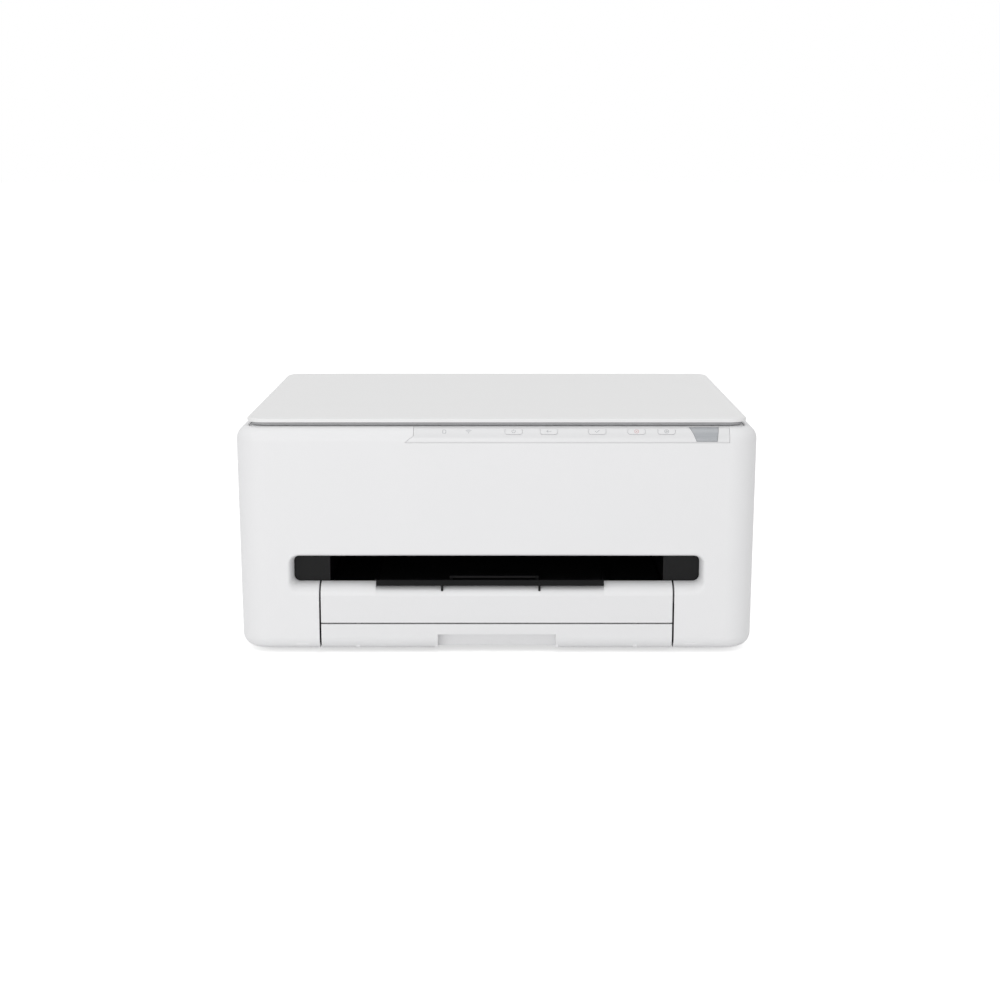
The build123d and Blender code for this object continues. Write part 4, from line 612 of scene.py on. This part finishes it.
# %% Print the symbols
grey_ink = moulded_plastic("ink_pad_printed_grey", "#a6a8ab", 0.5, grain=0.3, depth=0.002, change=0.04)
red_ink = moulded_plastic("ink_pad_printed_red", "#d3a3a4", 0.5, grain=0.3, depth=0.002, change=0.04)
on_key = proud_key + ink_lift
symbols = {
    "key_power": (13.0, [ring(1.35, 122, 418), *between((0, 0.3), (0, 1.8))], grey_ink),
    "key_back": (
        40.0,
        [*between((1.9, 0), (-1.7, 0)), *between((-0.5, 1.1), (-1.7, 0), (-0.5, -1.1))],
        grey_ink,
    ),
    "key_ok": (77.0, [*between((-1.7, 0.1), (-0.5, -1.1), (1.8, 1.2))], grey_ink),
    "key_stop": (
        107.0,
        [ring(1.6), *between((-0.7, -0.7), (0.7, 0.7)), *between((-0.7, 0.7), (0.7, -0.7))],
        red_ink,
    ),
    "key_start": (130.0, [ring(1.6), *between((-0.5, 0.8), (0.85, 0), (-0.5, -0.8), (-0.5, 0.8))], grey_ink),
}
for key, (place, lines, ink) in symbols.items():
    printed_mark(key + "_symbol", place, lines, on_key, ink, key)
sheet = between((-1.2, -1.6), (1.2, -1.6), (1.2, 0.9), (0.5, 1.6), (-1.2, 1.6), (-1.2, -1.6))
waves = [ring(r, 45, 135) + (0, -1.4) for r in (1.0, 2.0, 3.0)] + [ring(0.16) + (0, -1.3)]
printed_mark("paper_lamp_symbol", -40.0, sheet, ink_lift, grey_ink, "base")
printed_mark("radio_lamp_symbol", -21.5, waves, ink_lift, grey_ink, "base")
print("printed", len(symbols) + 2, "symbols")

# %% [markdown]
# Under the keys lies a pale rubber mat, whose rim shows as a fine collar in the slit round each key. Without
# it the slits would look like deep black lines, which they are not on the real strip. Each collar is the
# key's own outline drawn twice, once a hair outside the key and once a hair inside the opening, and sunk a
# little.


# %% Line the slits round the keys
def collar(place, gap=(0.05, 0.32), sunk=0.45):
    """Two outlines round a key, grown by both gap values and sunk below the shoulder, as a closed band. All
    in mm."""
    sizes = (key_half_length, key_half_height, key_corner)
    rings = np.stack([rounded_outline(*(size + grow for size in sizes), steps=7) for grow in gap])
    rings = np.concatenate([rings, rings[:, :1]], axis=1)
    return on_shoulder((rings[..., 0] + place) * MM, rings[..., 1] * MM, -sunk * MM)[::-1]


mat_rubber = moulded_plastic("silicone_white_key_mat", "#ededee", 0.6, depth=0.004)
collar_sheets = joined([collar(place) for place, _, _ in symbols.values()])
collars = new_piece("key_mat_collars", *collar_sheets, mat_rubber, "base")
print("collars round", len(symbols), "keys")

# %% [markdown]
# ## The rolled mouth of the paper slot
# White casings like this one are rolled inwards at a paper slot, so that no sheet and no finger meets a sharp
# edge. The roll is a quarter of an ellipse: it starts level with the front and ends flat, 12 mm further in.
# The solids carry such a roll already. The strips made here thicken it: the brow hangs 3 mm lower, and the
# sill rises 2 mm on both sides of the pull tab. Each strip lies on the solid it belongs to, from end to end.

# %% Set out the rolls
front_y = casing_low[1]
roll_depth = 12.0 * MM
slot_half, slot_flare, slot_corner, corner_flare = 158.0, 4.0, 5.0, 4.0
straight_half = 150.0
# each roll is the height of its edge and the drop from there to the front, in mm
brow_skin, brow_bed = (77, 3), (80, 2)
sill_skin, sill_bed = (56, 9.5), (54, 7.5)
scoop_skin, scoop_bed = (54.05, 7.55), (51.4, 4.9)
# places along the sill: the gaps at both ends of the panel, the recess for the tab, and the scoop
casing_gap, panel_half = 138.1, 136.6
tab_recess, scoop_reach = (-93.9, 83.5), (-39.4, 33.4)
turns = np.linspace(0, math.pi / 2, 17)
corner_turns = np.linspace(0, math.pi / 2, 9)
print("brow lowered by", brow_bed[0] - brow_skin[0], "mm, sill raised by", sill_skin[0] - sill_bed[0], "mm")


# %% Build up the brow and the sill
def rolled_rows(column, edge, drop, sense):
    """Rows of points over the roll, one for each turn t. The depth is the roll's (1 - cos t). The share that
    the roll still has to go, s = 1 - sin t, moves the edge by the drop and flares the ends and the corner
    radius. A column is a plain x, or a pair of an end (-1 or 1) and an angle round that end's corner."""
    share = 1 - np.sin(turns)
    z = edge + sense * drop * share
    if isinstance(column, tuple):
        end, angle = column
        radius = slot_corner + corner_flare * share
        x = end * (slot_half + slot_flare * share - radius + radius * math.sin(angle))
        z = z - sense * radius * (1 - math.cos(angle))
    else:
        x = np.full(len(turns), column)
    return np.stack([x * MM, front_y + roll_depth * (1 - np.cos(turns)), z * MM], -1)


def rolled_strip(columns, skin, bed, sense=-1):
    """The closed sheets of a strip: the skin, the bed it lies on, its front, its back and both ends. A sense
    of -1 rolls down to the front (a sill), 1 rolls up (a brow)."""
    top, low = (np.stack([rolled_rows(c, *roll, sense) for c in columns], 1) for roll in (skin, bed))
    ends = [np.stack([top[:, k], low[:, k]]) for k in (0, -1)]
    return [top, low, np.stack([top[0], low[0]]), np.stack([top[-1], low[-1]]), *ends]


def corners(end):
    """Columns round the corner at one end, from the straight edge out to the side."""
    return [(end, float(angle)) for angle in corner_turns]


brow_columns = [*corners(-1)[::-1], *np.linspace(-straight_half, straight_half, 7), *corners(1)]
brow_sheets = joined(rolled_strip(brow_columns, brow_skin, brow_bed, 1))
brow = new_piece("slot_brow_roll", *brow_sheets, casing_white, "base")
end_strips = (
    rolled_strip([e * casing_gap, e * straight_half, *corners(e)], sill_skin, sill_bed) for e in (-1, 1)
)
sill_sides = new_piece(
    "slot_sill_ends", *joined([s for strip in end_strips for s in strip]), casing_white, "base"
)
panel_strips = (
    rolled_strip([-panel_half, tab_recess[0]], sill_skin, sill_bed),
    rolled_strip([tab_recess[1], panel_half], sill_skin, sill_bed),
    rolled_strip(scoop_reach, scoop_skin, scoop_bed),
)
panel_sheets = joined([sheet for strip in panel_strips for sheet in strip])
sill = new_piece("output_panel_sill_roll", *panel_sheets, casing_white, "output_tray")
print("sill", measured(sill), "mm")

# %% [markdown]
# ## The tab, the finger recess and the seams
# The black plate under the paper is pulled out by a tab that turns up at its front edge. Behind the finger
# recess of the cassette stands a white wall, which keeps dust from the paper. A pale lip lines the seam above
# the cassette, so that it does not open into the dark inside. A grey strip in the gap under the lid is painted
# shade: its grey stands in for the shadow in that gap.


# %% Make the tab, the wall and the seam lip
def rounded_bar(x, y, z, radius, steps=5):
    """A bar along X whose cross section is a rectangle with round corners: the outline of the section at both
    ends, joined lengthwise, and a face over each end. The ends are drawn in by a chamfer of half the
    radius."""
    (x0, x1), (y0, y1), (z0, z1) = x, y, z
    outline = rounded_outline((y1 - y0) / 2, (z1 - z0) / 2, radius, steps)
    small = rounded_outline((y1 - y0) / 2 - radius / 2, (z1 - z0) / 2 - radius / 2, radius / 2, steps)
    middle = np.array([(y0 + y1) / 2, (z0 + z1) / 2])
    rings = [(x0, small), (x0 + radius / 2, outline), (x1 - radius / 2, outline), (x1, small)]
    points = np.array([np.column_stack([np.full(len(o), place), o + middle]) for place, o in rings]) * MM
    return points, closed_faces(points)


def joined_bars(bars):
    """Several closed bars as one list of points and one list of faces."""
    points, faces, count = [], [], 0
    for places, sides in bars:
        places = places.reshape(-1, 3)
        faces += [[k + count for k in side] for side in sides]
        points.append(places)
        count += len(places)
    return np.concatenate(points), faces


tab_reach, rib_half, rib_places = (-93.6, 83.2), 0.8, (-42.4, 33.2)
tab_bars = [
    rounded_bar(tab_reach, (-156.0, -154.0), (54.3, 59.0), 0.6),
    rounded_bar(tab_reach, (-155.0, -150.9), (54.35, 56.25), 0.2),
    *(rounded_bar((x - rib_half, x + rib_half), (-156.0, -154.9), (50.1, 54.6), 0.3) for x in rib_places),
]
tab = new_piece("tray_extension_pull_tab", *joined_bars(tab_bars), tray_black, "tray_extension", smooth=False)
wall_bar = rounded_bar((-48.0, 48.0), (-146.2, -145.0), (4.0, 17.7), 0.3)
recess_wall = new_piece("cassette_recess_wall", *wall_bar, cassette_white, "cassette", smooth=False)
lip_bar = rounded_bar((-136.0, 136.0), (-153.0, -150.0), (23.85, 24.9), 0.2)
seam_lip = new_piece("cassette_panel_seam_lip", *lip_bar, cassette_white, "cassette", smooth=False)
print("tab", measured(tab), "mm")


# %% Hang a grey strip of painted shade in the gap under the lid
def gap_shade_ring(reach, low, high, back_end):
    """The skirt's outline, a rectangle with round corners, and the same grown by the reach, each at two
    heights in mm. Only the run from one side round the front to the other is kept: the third and fourth
    quarter of the outline."""
    rows, steps = [], 9
    for grow, z in ((0, low), (reach, low), (reach, high), (0, high), (0, low)):
        half_x, half_y, corner = skirt_half_x + grow, skirt_half_y + grow, skirt_corner + grow
        outline = rounded_outline(half_x, half_y, corner, steps)[2 * steps : 4 * steps] + (0, skirt_shift)
        outline = np.concatenate([[(-half_x, back_end)], outline, [(half_x, back_end)]])
        rows.append(np.column_stack([outline, np.full(len(outline), z)]))
    return np.array(rows) * MM


skirt_half_x, skirt_half_y, skirt_corner, skirt_shift = 188.5, 141.75, 9.5, -2.25
# the grey of this strip is painted shade: it stands in for the shadow in the gap between the lid and the casing
gap_shade_grey = moulded_plastic("grey_lid_gap_painted_shade", "#b6b6b8", 0.7, gloss=0.2, depth=0.004)
ring_points = gap_shade_ring(0.6, 178.8, 181.35, 60.0)
gap_shade = new_piece("lid_gap_painted_shade", ring_points, grid_faces(5, ring_points.shape[1]), gap_shade_grey, "lid", smooth=False)
print("gap_shade", measured(gap_shade), "mm")

# %% [markdown]
# ## The handle pockets
# A pocket at the foot of each side takes the fingers when the printer is lifted. The side covers have the
# opening, and a moulded cup behind it closes the view into the engine. The cup is a stack of rounded
# rectangles: up its outside, over its rim and down its inside to the floor of the pocket.


# %% Close the pockets behind the handle openings
opening_half_y, opening_half_z, opening_corner, opening_middle = 42, 10, 6, 23


def cup(side, steps=6):
    """Rings from the back of the cup over its rim to its floor, as an x and a growth of the opening, both in
    mm. The rim stands in the opening a hair inside its edge."""
    sizes = (opening_half_y, opening_half_z, opening_corner)
    profile = [(192.5, -1.2), (193.3, 0.3), (194.5, 0.8), (197.5, 0.8), (197.5, -0.05), (199.4, -0.05)]
    profile += [(199.4, -0.3), (195.4, -0.4), (194.2, -0.8), (193.6, -2.0)]
    rows = []
    for x, grow in profile:
        outline = rounded_outline(*(size + grow for size in sizes), steps)[::side]
        rows.append(np.column_stack([np.full(len(outline), side * x), outline + (0, opening_middle)]))
    points = np.array(rows) * MM
    return points, closed_faces(points)


cups = new_piece("side_handle_cups", *joined_bars([cup(-1), cup(1)]), casing_white, "base", smooth=False)
print("cups", measured(cups), "mm")

# %% [markdown]
# ## The scanner bed
# With the lid up, the bed shows a printed rule along two sides of its window and an arrow at the corner where
# a page belongs. Both are flat ink on the frame, so each tick is one thin rectangle. They are worked out
# together: an array of places, times the four corners of one tick.


# %% Print the rule beside the window
def ticks(places, lengths, width, start, along, away):
    """One rectangle per place: along is the way the rule runs, away is the way its ticks point from the
    window."""
    places, lengths = np.asarray(places)[:, None], np.asarray(lengths)[:, None]
    across = np.array([-0.5, 0.5, 0.5, -0.5]) * width + places
    out = np.array([0.0, 0.0, 1.0, 1.0]) * lengths
    return start + across[..., None] * along + out[..., None] * away


bed_top = 178.2 * MM
glass_low, glass_high = node_box("platen_glass")
margin = 7 * MM
window_low, window_high = glass_low[:2] + margin, glass_high[:2] - margin
corner_place = np.array([window_low[0], window_high[1], bed_top + ink_lift])


def rule_along(length, along, away):
    """A tick every 10 mm, every fifth one longer, 1.5 mm clear of the window."""
    places = np.arange(0.0, length - 2 * MM, 10 * MM)
    lengths = np.where(np.arange(len(places)) % 5 == 0, 4.5, 2.5) * MM
    along, away = np.array(along), np.array(away)
    return ticks(places, lengths, 0.3 * MM, corner_place + 1.5 * MM * away, along, away)


rule_x = rule_along(window_high[0] - window_low[0], (1, 0, 0), (0, 1, 0))
rule_y = rule_along(window_high[1] - window_low[1], (0, -1, 0), (-1, 0, 0))
arrow = corner_place + np.array([[(-1.6, 1.6, 0), (-6.5, 3.6, 0), (-6.5, 6.5, 0), (-3.6, 6.5, 0)]]) * MM
marks = np.concatenate([rule_x, rule_y, arrow])
# counted the same way round, so that every face looks up
area = np.cross(marks[:, 1] - marks[:, 0], marks[:, 2] - marks[:, 0])[:, 2]
marks[area < 0] = marks[area < 0][:, ::-1]
corner_numbers = np.arange(len(marks) * 4).reshape(-1, 4)
rule = new_piece("scanner_bed_rule", marks, corner_numbers, grey_ink, "scanner", smooth=False)
print(len(marks), "printed marks beside a window of", np.round((window_high - window_low) * 1000, 1), "mm")

# %% [markdown]
# Under the glass, the scan head carries a light guide: a clear acrylic rod that spreads the light of one
# diode over the whole width of the page. It is a shallow arc in section, drawn out along the head.


# %% Lay the light guide
def drawn_arc(x, y_span, z, half_width, rise, steps=9, rows=40):
    """Across the head the height is z + rise * (1 - (offset / half_width) ** 2), the same all along it."""
    offset = np.linspace(-half_width, half_width, steps)
    along = np.linspace(*y_span, rows)
    height = z + rise * (1 - (offset / half_width) ** 2)
    return np.stack(np.broadcast_arrays((x + offset)[None], along[:, None], height[None]), -1)


guide_acrylic = float_glass("pmma_extruded_light_guide")
head_low, head_high = node_box("scan_head")
span = (head_low[1] + 6 * MM, head_high[1] - 6 * MM)
arc = drawn_arc((head_low[0] + head_high[0]) / 2, span, head_high[2], 2.2 * MM, 0.15 * MM)[:, ::-1]
guide = new_piece("scan_head_light_guide", arc, grid_faces(*arc.shape[:2]), guide_acrylic, "scan_head")
print("light guide", round((span[1] - span[0]) * 1000), "mm long")

# %% [markdown]
# ## Ink tanks and screws
# The two ink tanks are told apart by the coloured bands on top: one dark band for black, and three side by
# side for the colours. They are satin film, so a rectangle with round corners a hair above the tank does it.

# %% Lay the colour bands
band_inks = {
    "black": "#2a2a2c",
    "cyan": "#3f9fbe",
    "magenta": "#b8527f",
    "yellow": "#d9c24a",
}
tank_low, tank_high = node_box("cartridges")
half_tank = 14.5 * MM
tank_centre = {-1: tank_low[0] + half_tank, 1: tank_high[0] - half_tank}
bands = [("black", -1, 0.0, 7.0), ("cyan", 1, -4.8, 2.2), ("magenta", 1, 0.0, 2.2), ("yellow", 1, 4.8, 2.2)]
for ink, side, shift, half in bands:
    film = moulded_plastic("pet_film_printed_" + ink, band_inks[ink], 0.4, depth=0.004, change=0.05)
    outline = rounded_outline(half * MM, 8 * MM, 1.2 * MM, steps=6)
    middle = np.array([tank_centre[side] + shift * MM, (tank_low[1] + tank_high[1]) / 2])
    height = np.full(len(outline), tank_high[2] + 0.04 * MM)
    rings = np.stack([np.column_stack([outline * share + middle, height]) for share in (1.0, 0.5)])
    faces = [list(face) for face in grid_faces(2, len(outline), wrap=True)]
    faces.append(list(range(len(outline), 2 * len(outline))))
    band = new_piece("ink_band_" + ink, rings, faces, film, "carriage", smooth=False)
print("bands:", [b[0] for b in bands])

# %% [markdown]
# The base is held by tapping screws with round heads. A screw head is a dome with a cross sunk in it, which
# is a height over a disk: for each distance from the middle and each angle, the dome's height less the
# cross's depth.


# %% Turn the screw heads
def screw_head(place, radius, rise, facing):
    """Height over a disk: rise * (1 - (d / radius) ** 2) ** 0.5, less 0.6 of the rise within the arms of a
    cross, whose half width is a fifth of the radius and whose reach is 0.62 of it. facing is +1 for up and -1
    for down."""
    distance = np.linspace(0.02, 1.0, 16)[:, None] * radius
    turn = np.linspace(0, 2 * math.pi, 48, endpoint=False)[None]
    x, y = distance * np.cos(turn), distance * np.sin(turn)
    arm = 0.2 * radius
    in_cross = ((np.abs(x) < arm) | (np.abs(y) < arm)) & (distance < 0.62 * radius)
    height = rise * np.sqrt(np.clip(1 - (distance / radius) ** 2, 0, 1)) - np.where(in_cross, 0.6 * rise, 0)
    flat = np.stack([x, y * facing, height * facing], -1)
    return flat + np.asarray(place)


screw_steel = streaked_metal("steel_black_oxide_screw", "#6c6e71", 0.4, 0.3, "X")
base_low, base_high = node_box("bottom_case")
inset = 24 * MM
screws = []
for x in (base_low[0] + inset, 0.0, base_high[0] - inset):
    for y in (base_low[1] + inset, base_high[1] - inset):
        head = screw_head((x, y, base_low[2] - 0.02 * MM), 3.0 * MM, 1.3 * MM, -1)
        faces = [list(face) for face in grid_faces(*head.shape[:2], wrap=True)]
        # the innermost ring is closed by one face
        faces.append(list(range(head.shape[1]))[::-1])
        screw = new_piece(
            f"base_screw_{len(screws) + 1}", head, [face[::-1] for face in faces], screw_steel, "base"
        )
        screws.append(screw)
print(len(screws), "screws under the base")
